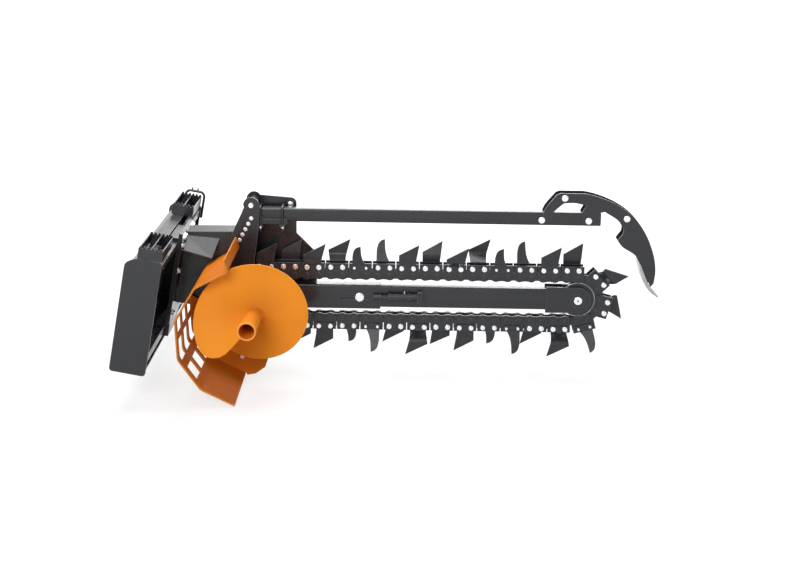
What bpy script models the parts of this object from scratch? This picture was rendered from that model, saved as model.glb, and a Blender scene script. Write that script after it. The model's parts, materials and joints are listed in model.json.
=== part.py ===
"""Side-shift chain trencher attachment for a small loader.

The origin is the middle of the coupler face that meets the machine. +X runs along the boom to its nose,
+Z is up and the boom's mid-plane is Y = 0. Sizes are in metres.
"""
import math

import bmesh
import bpy
from mathutils import Matrix, Vector

# Clearances
GAP = 0.0003                # between pieces that touch
RUN_GAP = 0.0005            # between pieces that slide or turn

# Hitch frame, in its own frame, which leans towards the boom
LEAN = math.radians(10)
HITCH_HALF = 0.560          # half the width over the cheeks
CHEEK_T = 0.010
CHEEK_REAR = -0.046
CHEEK_FRONT = 0.100
CHEEK_HALF_H = 0.239
CHEEK_ROUND = 0.014
COUPLER_T = 0.008
COUPLER_HALF_H = 0.215
LIP_REACH = 0.036
LIP_RELIEF = 0.001          # groove at the root of the lip, so that the machine's plate seats flat
FLANGE_T = 0.008
LOCK_SLOT = (0.030, 0.070)  # across and along
LOCK_SLOT_Y = 0.330
RAIL_DEPTH = 0.028
RAIL_UPPER_H = 0.031
RAIL_LOWER_H = 0.040
RAIL_FRONT = 0.098
RAIL_UPPER_TOP = 0.221
RAIL_LOWER_TOP = -0.145
RIB_T = 0.008
RIB_OUTER_Y = 0.460
RIB_INNER_Y = 0.240
RIB_INNER_FRONT = 0.055
STEP_LENGTH = 0.255
STEP_DEPTH = 0.0965
STEP_H = 0.052
STEP_WALL = 0.005
GUIDE_ROD_R = 0.006
GUIDE_TOP = 0.300

# Side-shift carriage, in the hitch's frame
SHIFT_TRAVEL = 0.250
CARRIAGE_HALF = 0.145
CARRIAGE_T = 0.018
CARRIAGE_TOP = 0.262
CARRIAGE_BOTTOM = -0.140
CLAMP_HALF = 0.120
CLAMP_T = 0.0115

# Digging head: its shaft lies across the boom, in front of and below the coupler face
HEAD_REACH = 0.468
HEAD_DROP = 0.052
MAST_INNER = 0.062
PEDESTAL_HALF = MAST_INNER - GAP
PEDESTAL_FRONT = -0.105
GUSSET_WIDTH = 0.080
MAST_SPACER_T = 0.016
MAST_T = 0.010
PIVOT_X = -0.030
PIVOT_Z = 0.404
PIVOT_PIN_R = 0.010
EAR_R = 0.034
ADJUST_HOLES = 6
ADJUST_HOLE_R = 0.007
ADJUST_PITCH = 0.027
MAST_REAR_EDGE = [(-0.122, 0.234), (-0.118, 0.150)]
MAST_NEAR_FRONT = [(-0.020, 0.150), (0.000, 0.300), (0.006, 0.402)]
MAST_FAR_FRONT = [(0.240, 0.170), (0.172, 0.238), (0.152, 0.258), (0.152, 0.380)]
MAST_FOOT_RIM = 0.015       # plate beside the shaft housing
MAST_LOW_RIM = 0.007        # plate under it
LOCK_BOLT_X = 0.126
LOCK_BOLT_Z = 0.385
SHAFT_R = 0.019
HOUSING_R = 0.055
HOUSING_FLANGE_RIM = 0.013
MOTOR_R = 0.072
MOTOR_LENGTH = 0.170
PORT_R = 0.013
PORT_H = 0.026

# Auger, on the near side of the head shaft
AUGER_END = -0.580
AUGER_START = -0.110
TUBE_R = 0.038
TUBE_WALL = 0.0065
FLIGHT_R = 0.226
FLIGHT_T = 0.006
FLIGHT_NEAR = -0.520
FLIGHT_FAR = -0.114
FLIGHT_PITCH = 0.330
FLIGHT_START_ANGLE = math.radians(235)
FLIGHT_STEP = math.radians(15)

# Spoil guard around the auger
GUARD_NEAR = -0.500
GUARD_T = 0.006
# Folds from the front lip round to the upstand: degrees about the shaft and clearance past the flight
GUARD_FOLDS = [(-99.96, 0.1151), (-125.98, 0.1076), (-152.72, 0.0947), (177.46, 0.0673),
               (145.21, 0.0334), (109.84, 0.0068), (109.33, 0.0580)]
GUARD_WINDOW_COLUMNS = 3
GUARD_WINDOW_LENGTH = 0.075
GUARD_WINDOW_H = 0.050
GUARD_LOW_WINDOW_H = 0.085
GUARD_WINDOW_ROWS = ((1, 0.50, GUARD_LOW_WINDOW_H), (2, 0.27, GUARD_WINDOW_H), (2, 0.73, GUARD_WINDOW_H))
GUARD_WINDOW_SHARE = 0.42   # where a window's middle is in its column
END_PLATE_T = 0.005
END_PLATE_FRONT = [(-98.85, 0.1252), (-92.86, 0.1144), (-85.57, 0.0849), (-82.23, 0.0475)]
END_PLATE_INNER_GAP = 0.022

# Chain loop
PITCH = 0.0508
TEETH = 12                  # pitches in a full turn around the sprocket or the idler
SPAN_PITCHES = 27           # between the head shaft and the idler
LOOP_PITCHES = 2 * SPAN_PITCHES + TEETH
CHAIN_SECTIONS = 3
PIN_R = 0.009
BAR_OUT = 0.0494            # outer edge of the side bars, outboard of the pins
BAR_IN = 0.019              # their inner edge, inboard of the pins
LINK_OUT = 0.014            # outer edge of the inner links
LINK_SPACE = 0.0072         # between the side bars of two outer links
CHAIN_HALF = 0.029
CHANNEL_HALF = 0.010
TOOTH_BOLT_OUT = 0.0324
TOOTH_T = 0.008
TOOTH_SINK = 0.002
SPROCKET_HALF = 0.006
WHEEL_HALF = 0.022

# Boom
BOOM_HALF_H = 0.046
BOOM_HALF = 0.026
BOOM_TUBE_WALL = 0.006
BOOM_START = 0.160
BOOM_NOSE_GAP = 0.011       # between the bar's end and the idler's disc
SLEEVE_HALF_H = 0.053
SLEEVE_HALF = 0.033
SLEEVE_START = 0.118
SLEEVE_END = 0.520
SLOT_START = 0.345
SLOT_END = 0.475
SLOT_HALF_H = 0.011
SLOT_BOLT_X = 0.430
SLOT_BOLT_R = 0.009
TAKE_UP = 0.030
FORK_T = 0.010
FORK_REACH = 0.1396         # from the idler's axis back along the bar
FORK_HALF_H = 0.057
AXLE_R = 0.014
AXLE_BOSS_R = 0.033
TENSION_END = 0.700
TENSION_Z = 0.006
TENSION_R = 0.019
TENSION_ROD_R = 0.009
TENSION_GRIP = 0.025        # the rod's length inside the cylinder
TENSION_COLLAR_R = 0.013
TENSION_COLLAR_T = 0.003
TENSION_ANCHOR_T = 0.022
TENSION_Y = -0.047

# Crumber arm
BAR_BOTTOM = 0.3276
BAR_TOP = 0.3835
BAR_HALF = 0.028
BAR_WALL = 0.005
BAR_START = -0.014
BAR_PAST_NOSE = 0.0834      # from the idler's axis forwards
SADDLE_T = 0.010
SADDLE_START = -0.052
SADDLE_END = 0.118
SADDLE_EAR_R = 0.018
UBOLT_X = (0.004, 0.098)
UBOLT_R = 0.005
UBOLT_DROP = 0.040
SHOE_T = 0.008
# Shoe outlines: x from the idler's axis, z from the head shaft
SHOE_PLATE = [(-0.170, 0.345), (-0.161, 0.392), (-0.110, 0.462), (-0.092, 0.469), (0.010, 0.469),
              (0.094, 0.447), (0.156, 0.419), (0.215, 0.377), (0.273, 0.304), (0.307, 0.231),
              (0.325, 0.160), (0.327, 0.121), (0.322, 0.080), (0.309, 0.065), (0.262, 0.163),
              (0.237, 0.202), (0.173, 0.246), (0.157, 0.268), (0.180, 0.300), (0.181, 0.318),
              (0.164, 0.345), (0.097, 0.391), (0.080, 0.387), (0.068, 0.330), (0.008, 0.330),
              (0.000, 0.387), (-0.122, 0.387), (-0.132, 0.345)]
SHOE_WINDOW = [(-0.104, 0.398), (-0.079, 0.425), (-0.041, 0.428), (0.018, 0.418), (0.014, 0.398)]
SHOE_SPACERS = {"shoe_spacer_rear": (-0.075, 0.448), "shoe_spacer_front": (0.213, 0.345)}
SHOE_SPACER_R = 0.012
BLADE_HALF = 0.048
BLADE_OUTLINE = [(0.2502, 0.1800), (0.2617, 0.1624), (0.3086, 0.0646), (0.3440, 0.0265), (0.3420, 0.0200),
                 (0.3000, 0.0520), (0.2710, 0.1060), (0.2550, 0.1600)]

SHAFT_SIDES = 24
FINE_SIDES = 40

COATED = ("charcoal_coat", (0.070, 0.072, 0.080), 0.32, 0.0)
ORANGE = ("orange_coat", (0.850, 0.290, 0.035), 0.38, 0.0)
ZINC = ("zinc_plate", (0.740, 0.750, 0.770), 0.28, 0.9)
TOOTH_STEEL = ("tooth_steel", (0.090, 0.090, 0.096), 0.38, 0.5)


# Helpers ---------------------------------------------------------------------------------------------------

def clear_scene():
    for obj in list(bpy.data.objects):
        bpy.data.objects.remove(obj, do_unlink=True)


def material(spec):
    name, color, roughness, metallic = spec
    found = bpy.data.materials.get(name)
    if found:
        return found
    made = bpy.data.materials.new(name)
    made.use_nodes = True
    shader = made.node_tree.nodes["Principled BSDF"]
    shader.inputs["Base Color"].default_value = (*color, 1.0)
    shader.inputs["Roughness"].default_value = roughness
    shader.inputs["Metallic"].default_value = metallic
    return made


def empty(name, location=(0, 0, 0), tilt=0.0, parent=None):
    obj = bpy.data.objects.new(name, None)
    obj.location = location
    obj.rotation_euler = (0, tilt, 0)
    obj.parent = parent
    bpy.context.collection.objects.link(obj)
    return obj


def add(name, bm, finish, parent, smooth=False):
    """Turn a bmesh into a named object under its parent's axis."""
    bmesh.ops.recalc_face_normals(bm, faces=bm.faces)
    mesh = bpy.data.meshes.new(name)
    bm.to_mesh(mesh)
    bm.free()
    mesh.materials.append(material(finish))
    if smooth:
        mesh.shade_smooth()
        mesh.set_sharp_from_angle(angle=math.radians(35))
    obj = bpy.data.objects.new(name, mesh)
    obj.parent = parent
    bpy.context.collection.objects.link(obj)
    return obj


def boolean(obj, tool, operation):
    modifier = obj.modifiers.new(tool.name, "BOOLEAN")
    modifier.operation = operation
    modifier.solver = "EXACT"
    modifier.object = tool
    tool.hide_render = True
    tool.display_type = "WIRE"


def slab(outline, y_near, y_far, holes=()):
    """A plate with an (x, z) outline and holes, as thick as the two Y values are apart."""
    bm = bmesh.new()
    edges = []
    for loop in (outline, *holes):
        verts = [bm.verts.new((x, y_near, z)) for x, z in loop]
        edges += [bm.edges.new((verts[i - 1], verts[i])) for i in range(len(verts))]
    bmesh.ops.triangle_fill(bm, use_beauty=True, use_dissolve=False, edges=edges)
    grown = bmesh.ops.extrude_face_region(bm, geom=bm.faces[:])
    moved = [item for item in grown["geom"] if isinstance(item, bmesh.types.BMVert)]
    bmesh.ops.translate(bm, vec=(0, y_far - y_near, 0), verts=moved)
    return bm


def block(low, high):
    """A box between two corners."""
    bm = bmesh.new()
    size = Vector(high) - Vector(low)
    middle = (Vector(high) + Vector(low)) / 2
    bmesh.ops.create_cube(bm, size=1.0, matrix=Matrix.Translation(middle) @ Matrix.Diagonal((*size, 1.0)))
    return bm


def turned(profile, sides=SHAFT_SIDES, centre=(0, 0), axis="Y"):
    """Turn (along, radius) points about an axis; a radius of 0 closes an end."""
    bm = bmesh.new()
    rings = []
    for along, radius in profile:
        if radius == 0:
            rings.append([bm.verts.new((0, along, 0))])
            continue
        ring = []
        for i in range(sides):
            angle = 2 * math.pi * i / sides
            ring.append(bm.verts.new((radius * math.cos(angle), along, radius * math.sin(angle))))
        rings.append(ring)
    pairs = list(zip(rings, rings[1:]))
    if profile[0][1] > 0:
        pairs.append((rings[-1], rings[0]))
    for first, second in pairs:
        for i in range(sides):
            j = (i + 1) % sides
            corners = [first[i % len(first)], first[j % len(first)],
                       second[j % len(second)], second[i % len(second)]]
            corners = list(dict.fromkeys(corners))
            if len(corners) > 2:
                bm.faces.new(corners)
    if axis == "X":
        bmesh.ops.rotate(bm, cent=(0, 0, 0), matrix=Matrix.Rotation(-math.pi / 2, 3, "Z"), verts=bm.verts)
    if axis == "Z":
        bmesh.ops.rotate(bm, cent=(0, 0, 0), matrix=Matrix.Rotation(math.pi / 2, 3, "X"), verts=bm.verts)
    if axis == "Y":
        bmesh.ops.translate(bm, vec=(centre[0], 0, centre[1]), verts=bm.verts)
    else:
        bmesh.ops.translate(bm, vec=centre, verts=bm.verts)
    return bm


def rod(start, end, radius, sides=SHAFT_SIDES, centre=(0, 0), axis="Y"):
    return turned([(start, 0), (start, radius), (end, radius), (end, 0)], sides, centre, axis)


def circle(x, z, radius, sides=12):
    return [(x + radius * math.cos(2 * math.pi * i / sides), z + radius * math.sin(2 * math.pi * i / sides))
            for i in range(sides)]


def arc(x, z, radius, start, end, steps):
    """Points on an arc, from one angle in degrees to another."""
    points = []
    for i in range(steps + 1):
        angle = math.radians(start + (end - start) * i / steps)
        points.append((x + radius * math.cos(angle), z + radius * math.sin(angle)))
    return points


def tube_along(points, radius, sides=8):
    """A round bar along a list of points."""
    bm = bmesh.new()
    points = [Vector(point) for point in points]
    rings = []
    normal = None
    for i, point in enumerate(points):
        before = points[max(i - 1, 0)]
        after = points[min(i + 1, len(points) - 1)]
        tangent = (after - before).normalized()
        if normal is None:
            normal = tangent.orthogonal().normalized()
        normal = (normal - tangent * normal.dot(tangent)).normalized()
        side = tangent.cross(normal)
        ring = []
        for k in range(sides):
            angle = 2 * math.pi * k / sides
            ring.append(bm.verts.new(point + radius * (math.cos(angle) * normal + math.sin(angle) * side)))
        rings.append(ring)
    for first, second in zip(rings, rings[1:]):
        for k in range(sides):
            bm.faces.new((first[k - 1], first[k], second[k], second[k - 1]))
    bm.faces.new(rings[0])
    bm.faces.new(list(reversed(rings[-1])))
    return bm


# Hitch frame -----------------------------------------------------------------------------------------------

def cheek(name, y_near, parent):
    r = CHEEK_ROUND
    low = -CHEEK_HALF_H + r
    outline = arc(CHEEK_REAR + r, low, r, 180, 270, 4)
    outline += arc(CHEEK_FRONT - r, low, r, 270, 360, 4)
    outline += arc(CHEEK_FRONT - r, CHEEK_HALF_H - r, r, 0, 90, 4)
    outline += [(0.004, CHEEK_HALF_H), (-0.028, 0.224), (-0.042, 0.212), (CHEEK_REAR, 0.196)]
    add(name, slab(outline, y_near, y_near + CHEEK_T), COATED, parent)


def hitch_across():
    """Half the clear width between the cheeks, less the joint gap."""
    return HITCH_HALF - CHEEK_T - GAP


def coupler(parent):
    """Back plate with its folded upper lip, and slotted lower flange: what the machine's plate meets."""
    half = hitch_across()
    h = COUPLER_HALF_H
    fold = LIP_REACH - COUPLER_T / 2
    outline = [(0, -h), (COUPLER_T, -h), (COUPLER_T, h + 0.012), (-0.004, h + 0.012),
               (-LIP_REACH, h + 0.012 - fold), (-fold, h - fold), (LIP_RELIEF, h + LIP_RELIEF),
               (LIP_RELIEF, h - 0.006), (0, h - 0.006)]
    add("coupler_plate", slab(outline, -half, half), COATED, parent)
    top = -h - GAP
    bm = block((CHEEK_REAR + 0.004, -half, top - FLANGE_T), (CHEEK_FRONT - 0.004, half, top))
    flange = add("lock_flange", bm, COATED, parent)
    across, along = LOCK_SLOT
    middle = -0.021
    for side in (-1, 1):
        y = side * LOCK_SLOT_Y
        low = (middle - across / 2, y - along / 2, top - 2 * FLANGE_T)
        high = (middle + across / 2, y + along / 2, top + FLANGE_T)
        boolean(flange, add(f"lock_slot_cut_{side + 1}", block(low, high), COATED, parent), "DIFFERENCE")


def rails(parent):
    half = hitch_across()
    rear = RAIL_FRONT - RAIL_DEPTH
    add("rail_upper", block((rear, -half, RAIL_UPPER_TOP - RAIL_UPPER_H), (RAIL_FRONT, half, RAIL_UPPER_TOP)),
        COATED, parent)
    add("rail_lower", block((rear, -half, RAIL_LOWER_TOP - RAIL_LOWER_H), (RAIL_FRONT, half, RAIL_LOWER_TOP)),
        COATED, parent)
    top = step_bottom() - GAP
    add("top_plate", block((COUPLER_T + GAP, -half, top - 0.008), (RIB_INNER_FRONT - 0.001, half, top)),
        COATED, parent)
    for side, word in ((-1, "near"), (1, "far")):
        for y, front, place in ((RIB_OUTER_Y, rear - GAP, "outer"), (RIB_INNER_Y, RIB_INNER_FRONT, "inner")):
            middle = side * y
            low = (COUPLER_T + GAP, middle - RIB_T / 2, -COUPLER_HALF_H)
            high = (front, middle + RIB_T / 2, top - 0.008 - GAP)
            add(f"rib_{word}_{place}", block(low, high), COATED, parent)


def step_bottom():
    return CHEEK_HALF_H + GAP


def step(name, y_near, parent):
    """An open tread box with a divider down its middle."""
    low = step_bottom()
    high = low + STEP_H
    y_far = y_near + STEP_LENGTH
    body = add(name, block((0, y_near, low), (STEP_DEPTH, y_far, high)), COATED, parent)
    middle = STEP_DEPTH / 2
    wells = ((STEP_WALL, middle - STEP_WALL / 2), (middle + STEP_WALL / 2, STEP_DEPTH - STEP_WALL))
    for i, (x_rear, x_front) in enumerate(wells):
        well_low = (x_rear, y_near + STEP_WALL, low - STEP_WALL)
        well_high = (x_front, y_far - STEP_WALL, high + STEP_WALL)
        boolean(body, add(f"{name}_well_{i}", block(well_low, well_high), COATED, parent), "DIFFERENCE")


def hose_guide(parent):
    """A bent rod that stands on the far end of the top plate and comes down over the far cheek's front."""
    y = HITCH_HALF - CHEEK_T / 2
    front = CHEEK_FRONT + GUIDE_ROD_R + GAP
    r = GUIDE_ROD_R
    foot = step_bottom()
    path = [(0.020, y, foot), (0.020, y, GUIDE_TOP - 0.030)]
    path += [(x, y, z) for x, z in arc(0.040, GUIDE_TOP - 0.020, 0.020, 180, 90, 4)]
    path += [(x, y, z) for x, z in arc(front - 0.020, GUIDE_TOP - 0.020, 0.020, 90, 0, 4)]
    path += [(front, y, 0.240), (front, y, 0.180)]
    add("hose_guide", tube_along(path, r), COATED, parent, smooth=True)


# Carriage --------------------------------------------------------------------------------------------------

def carriage(parent):
    rear = RAIL_FRONT + RUN_GAP
    front = rear + CARRIAGE_T
    add("carriage_plate",
        block((rear, -CARRIAGE_HALF, CARRIAGE_BOTTOM), (front, CARRIAGE_HALF, CARRIAGE_TOP)), COATED, parent)
    rail_rear = RAIL_FRONT - RAIL_DEPTH
    behind = rail_rear - RUN_GAP - CLAMP_T
    over = RAIL_UPPER_TOP + RUN_GAP
    hook = [(rear - GAP, over), (rear - GAP, over + 0.014), (behind, over + 0.014),
            (behind, over - 0.026), (rail_rear - RUN_GAP, over - 0.026), (rail_rear - RUN_GAP, over)]
    add("clamp_upper", slab(hook, -CLAMP_HALF, CLAMP_HALF), COATED, parent)
    under = RAIL_LOWER_TOP - RAIL_LOWER_H - RUN_GAP
    hook = [(rear, CARRIAGE_BOTTOM - GAP), (front, CARRIAGE_BOTTOM - GAP), (front, under - 0.014),
            (behind, under - 0.014), (behind, under + 0.028), (rail_rear - RUN_GAP, under + 0.028),
            (rail_rear - RUN_GAP, under), (rear, under)]
    add("clamp_lower", slab(hook, -CLAMP_HALF, CLAMP_HALF), COATED, parent)


def from_hitch(x, z):
    """A point of the leaning hitch frame as (x, z) from the head shaft."""
    return (x * math.cos(LEAN) + z * math.sin(LEAN) - HEAD_REACH,
            -x * math.sin(LEAN) + z * math.cos(LEAN) + HEAD_DROP)


def pedestal(parent):
    face = RAIL_FRONT + RUN_GAP + CARRIAGE_T + GAP
    top = from_hitch(face, CARRIAGE_TOP - 0.004)
    bottom = from_hitch(face, -0.060)
    outline = [top, (PEDESTAL_FRONT, 0.288), (PEDESTAL_FRONT, 0.246), (-0.168, 0.205), (-0.228, 0.130),
               (-0.262, 0.030), (-0.275, -0.040), bottom]
    add("pedestal", slab(outline, -PEDESTAL_HALF, PEDESTAL_HALF), COATED, parent)
    edge = 0.006
    for side, word in ((-1, "near"), (1, "far")):
        inner = PEDESTAL_HALF + GAP
        outer = PEDESTAL_HALF + GUSSET_WIDTH
        rear_top = from_hitch(face, CARRIAGE_TOP - 0.020)
        rear_low = from_hitch(face, CARRIAGE_TOP - 0.065)
        bm = bmesh.new()
        corners = [(rear_top, inner), ((-0.165, 0.258), inner), ((-0.190, 0.190), outer), (rear_low, outer)]
        upper = [bm.verts.new((x, side * y, z)) for (x, z), y in corners]
        lower = [bm.verts.new((x, side * y, z - edge)) for (x, z), y in corners]
        bm.faces.new(upper)
        bm.faces.new(list(reversed(lower)))
        for i in range(4):
            bm.faces.new((upper[i - 1], upper[i], lower[i], lower[i - 1]))
        bmesh.ops.triangulate(bm, faces=bm.faces[:])
        add(f"gusset_{word}", bm, COATED, parent)


def adjust_holes():
    """Holes down the mast's leaning rear edge."""
    holes = []
    for i in range(ADJUST_HOLES):
        along = i * ADJUST_PITCH
        holes.append(circle(-0.030 - along * 0.47, 0.348 - along * 0.88, ADJUST_HOLE_R, 8))
    return holes


def mast(parent):
    """Two upright plates that carry the crumber pivot, the shaft housing and the sleeve."""
    ear = arc(PIVOT_X, PIVOT_Z, EAR_R, 35, 200, 6)
    pin = circle(PIVOT_X, PIVOT_Z, PIVOT_PIN_R + RUN_GAP, 12)
    foot = HOUSING_R + MAST_FOOT_RIM
    low = -HOUSING_R - MAST_LOW_RIM
    near = ear + MAST_REAR_EDGE + [(-foot, 0.060), (-foot, low), (foot, low), (foot, 0.060)] + MAST_NEAR_FRONT
    shaft = circle(0, 0, HOUSING_R + GAP, SHAFT_SIDES)
    y = MAST_INNER
    add("mast_plate_near", slab(near, -y - MAST_T, -y, [pin, shaft, *adjust_holes()]), COATED, parent)
    heel = foot + 0.020
    far = ear + MAST_REAR_EDGE + [(-heel, 0.060), (-heel, low - 0.013), (MAST_FAR_FRONT[0][0], low)] + MAST_FAR_FRONT
    far += arc(LOCK_BOLT_X + 0.001, LOCK_BOLT_Z + 0.004, 0.025, 0, 90, 4)
    lock = circle(LOCK_BOLT_X, LOCK_BOLT_Z, 0.006, 12)
    add("mast_plate_far", slab(far, y, y + MAST_T, [pin, shaft, lock]), COATED, parent)
    across = y - GAP
    rear = PEDESTAL_FRONT + GAP
    add("mast_spacer", block((rear, -across, 0.247), (rear + MAST_SPACER_T, across, 0.280)), COATED, parent)
    add("sleeve_bracket",
        block((SLEEVE_START + 0.002, SLEEVE_HALF + GAP, -0.050), (0.236, y - GAP, 0.050)), COATED, parent)


def pivot(parent):
    end = MAST_INNER + MAST_T + 0.014
    head = 0.017
    inner = MAST_INNER + MAST_T + GAP
    profile = [(-end, 0), (-end, head), (-inner, head), (-inner, PIVOT_PIN_R), (inner, PIVOT_PIN_R),
               (inner, head), (end, head), (end, 0)]
    add("pivot_pin", turned(profile, 12, (PIVOT_X, PIVOT_Z)), ZINC, parent, smooth=True)
    start = saddle_outer() + RUN_GAP
    for side, word in ((-1, "near"), (1, "far")):
        ring = [(side * start, PIVOT_PIN_R + RUN_GAP), (side * start, 0.018),
                (side * (MAST_INNER - GAP), 0.018), (side * (MAST_INNER - GAP), PIVOT_PIN_R + RUN_GAP)]
        add(f"pivot_spacer_{word}", turned(ring, 12, (PIVOT_X, PIVOT_Z)), COATED, parent, smooth=True)
    far = MAST_INNER + MAST_T
    lock = [(MAST_INNER - 0.010, 0), (MAST_INNER - 0.010, 0.012), (MAST_INNER - GAP, 0.012),
            (MAST_INNER - GAP, 0.0057), (far + GAP, 0.0057), (far + GAP, 0.011), (far + 0.010, 0.011),
            (far + 0.010, 0)]
    add("lock_bolt", turned(lock, 12, (LOCK_BOLT_X, LOCK_BOLT_Z)), ZINC, parent, smooth=True)


def drive(parent):
    """Shaft housing on the near side, hydraulic motor with its ports on the far side."""
    bore = SHAFT_R + RUN_GAP
    flange = HOUSING_R + HOUSING_FLANGE_RIM
    inner = MAST_INNER - GAP
    outer = MAST_INNER + MAST_T + GAP
    near = [(-0.030, bore), (-0.030, HOUSING_R), (-outer, HOUSING_R), (-outer, flange), (-0.082, flange),
            (-0.082, HOUSING_R), (-0.100, HOUSING_R - 0.008), (-0.100, bore)]
    add("bearing_housing", turned(near), COATED, parent, smooth=True)
    body = outer + 0.016
    end = body + MOTOR_LENGTH
    far = [(0.030, bore), (0.030, HOUSING_R), (inner, HOUSING_R), (outer, HOUSING_R), (outer, flange),
           (body, flange), (body, MOTOR_R), (end - 0.012, MOTOR_R), (end, MOTOR_R - 0.012), (end, 0),
           (0.150, 0), (0.150, bore)]
    add("drive_motor", turned(far), COATED, parent, smooth=True)
    for i, y in enumerate((body + 0.050, body + 0.110)):
        add(f"motor_port_{i + 1}",
            rod(MOTOR_R + GAP, MOTOR_R + PORT_H, PORT_R, 12, (0, y, 0), "Z"), ZINC, parent, smooth=True)


# Head shaft and auger --------------------------------------------------------------------------------------

def head_shaft(parent):
    bore = SHAFT_R + GAP
    profile = [(AUGER_START - 0.050, 0), (AUGER_START - 0.050, SHAFT_R), (0.140, SHAFT_R), (0.140, 0)]
    add("head_shaft", turned(profile), ZINC, parent, smooth=True)
    hub = 0.045
    tip = disc_radius()
    sprocket = [(-WHEEL_HALF, bore), (-WHEEL_HALF, hub), (-SPROCKET_HALF, hub), (-SPROCKET_HALF, tip),
                (SPROCKET_HALF, tip), (SPROCKET_HALF, hub), (WHEEL_HALF, hub), (WHEEL_HALF, bore)]
    add("head_sprocket", turned(sprocket, 36), TOOTH_STEEL, parent)
    inner = TUBE_R - TUBE_WALL
    step_end = AUGER_START - 0.050 - GAP
    tube = [(AUGER_START, bore), (AUGER_START, TUBE_R), (AUGER_END, TUBE_R), (AUGER_END, inner),
            (step_end, inner), (step_end, bore)]
    add("auger_tube", turned(tube, FINE_SIDES), ORANGE, parent, smooth=True)


def flight_radius(turn, total):
    """Full radius, rounded off at the two ends of the flight."""
    reach = math.radians(28)
    edge = min(turn, total - turn)
    if edge >= reach:
        return FLIGHT_R
    share = edge / reach
    return TUBE_R + 0.030 + (FLIGHT_R - TUBE_R - 0.030) * math.sqrt(1 - (1 - share) ** 2)


def auger_flight(parent):
    total = (FLIGHT_FAR - FLIGHT_NEAR) / FLIGHT_PITCH * 2 * math.pi
    steps = math.ceil(total / FLIGHT_STEP)
    inner = TUBE_R / math.cos(total / steps / 2) + GAP
    bm = bmesh.new()
    stations = []
    for i in range(steps + 1):
        turn = total * i / steps
        angle = FLIGHT_START_ANGLE - turn
        y = FLIGHT_NEAR + (FLIGHT_FAR - FLIGHT_NEAR) * i / steps
        outer = flight_radius(turn, total)
        station = []
        for radius, offset in ((inner, 0), (outer, 0), (outer, FLIGHT_T), (inner, FLIGHT_T)):
            station.append(bm.verts.new((radius * math.cos(angle), y + offset, radius * math.sin(angle))))
        stations.append(station)
    for first, second in zip(stations, stations[1:]):
        for k in range(4):
            bm.faces.new((first[k - 1], first[k], second[k], second[k - 1]))
    bm.faces.new(stations[0])
    bm.faces.new(list(reversed(stations[-1])))
    add("auger_flight", bm, ORANGE, parent, smooth=True)


# Spoil guard -----------------------------------------------------------------------------------------------

def offset_line(points, distance):
    """The same open line, moved sideways by a distance, mitred at its folds."""
    moved = []
    for i, point in enumerate(points):
        here = Vector(point)
        sides = []
        for a, b in ((i - 1, i), (i, i + 1)):
            if a >= 0 and b < len(points):
                run = (Vector(points[b]) - Vector(points[a])).normalized()
                sides.append(Vector((-run.y, run.x)))
        mean = sum(sides, Vector((0, 0))).normalized()
        moved.append(tuple(here + mean * (distance / mean.dot(sides[0]))))
    return moved


def past_flight(folds):
    """(x, z) points from angles about the shaft and clearances past the flight."""
    points = []
    for degrees, clearance in folds:
        angle = math.radians(degrees)
        radius = FLIGHT_R + clearance
        points.append((radius * math.cos(angle), radius * math.sin(angle)))
    return points


def guard(parent):
    """Folded sheet around the auger with windows for the soil, and its half-moon end plate."""
    far = -MAST_INNER - MAST_T - GAP
    profile = past_flight(GUARD_FOLDS)
    outline = profile + list(reversed(offset_line(profile, GUARD_T)))
    body = add("spoil_guard", slab(outline, GUARD_NEAR, far), ORANGE, parent)
    length = far - GUARD_NEAR
    pitch = length / GUARD_WINDOW_COLUMNS
    for facet, share, height in GUARD_WINDOW_ROWS:
        start = Vector(profile[facet])
        end = Vector(profile[facet + 1])
        middle = start.lerp(end, share)
        run = (end - start).normalized()
        for column in range(GUARD_WINDOW_COLUMNS):
            y = GUARD_NEAR + pitch * (column + GUARD_WINDOW_SHARE)
            half = GUARD_WINDOW_LENGTH / 2
            deep = 4 * GUARD_T
            bm = block((-deep, y - half, -height / 2), (deep, y + half, height / 2))
            turn = Matrix.Rotation(math.atan2(run.x, run.y), 3, "Y")
            bmesh.ops.rotate(bm, cent=(0, 0, 0), matrix=turn, verts=bm.verts)
            bmesh.ops.translate(bm, vec=(middle.x, 0, middle.y), verts=bm.verts)
            tool = add(f"window_cut_{facet}_{int(share * 100)}_{column}", bm, ORANGE, parent)
            boolean(body, tool, "DIFFERENCE")
    inside = offset_line(profile, -GAP)
    inner = arc(0, 0, FLIGHT_R + END_PLATE_INNER_GAP, -80, -176, 10)
    outline = [inside[3], inside[2], inside[1], inside[0], *past_flight(END_PLATE_FRONT), *inner]
    add("guard_end_plate", slab(outline, far - END_PLATE_T, far), ORANGE, parent)


# Chain -----------------------------------------------------------------------------------------------------

def pin_circle_radius():
    return PITCH / (2 * math.sin(math.pi / TEETH))


def disc_radius():
    """The toothed discs run just inside the pins."""
    return pin_circle_radius() - PIN_R - RUN_GAP


def drum_radius():
    """The idler's drum runs just inside the side bars, which are nearest at the middle of a link."""
    return pin_circle_radius() * math.cos(math.pi / TEETH) - BAR_IN - RUN_GAP


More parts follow.
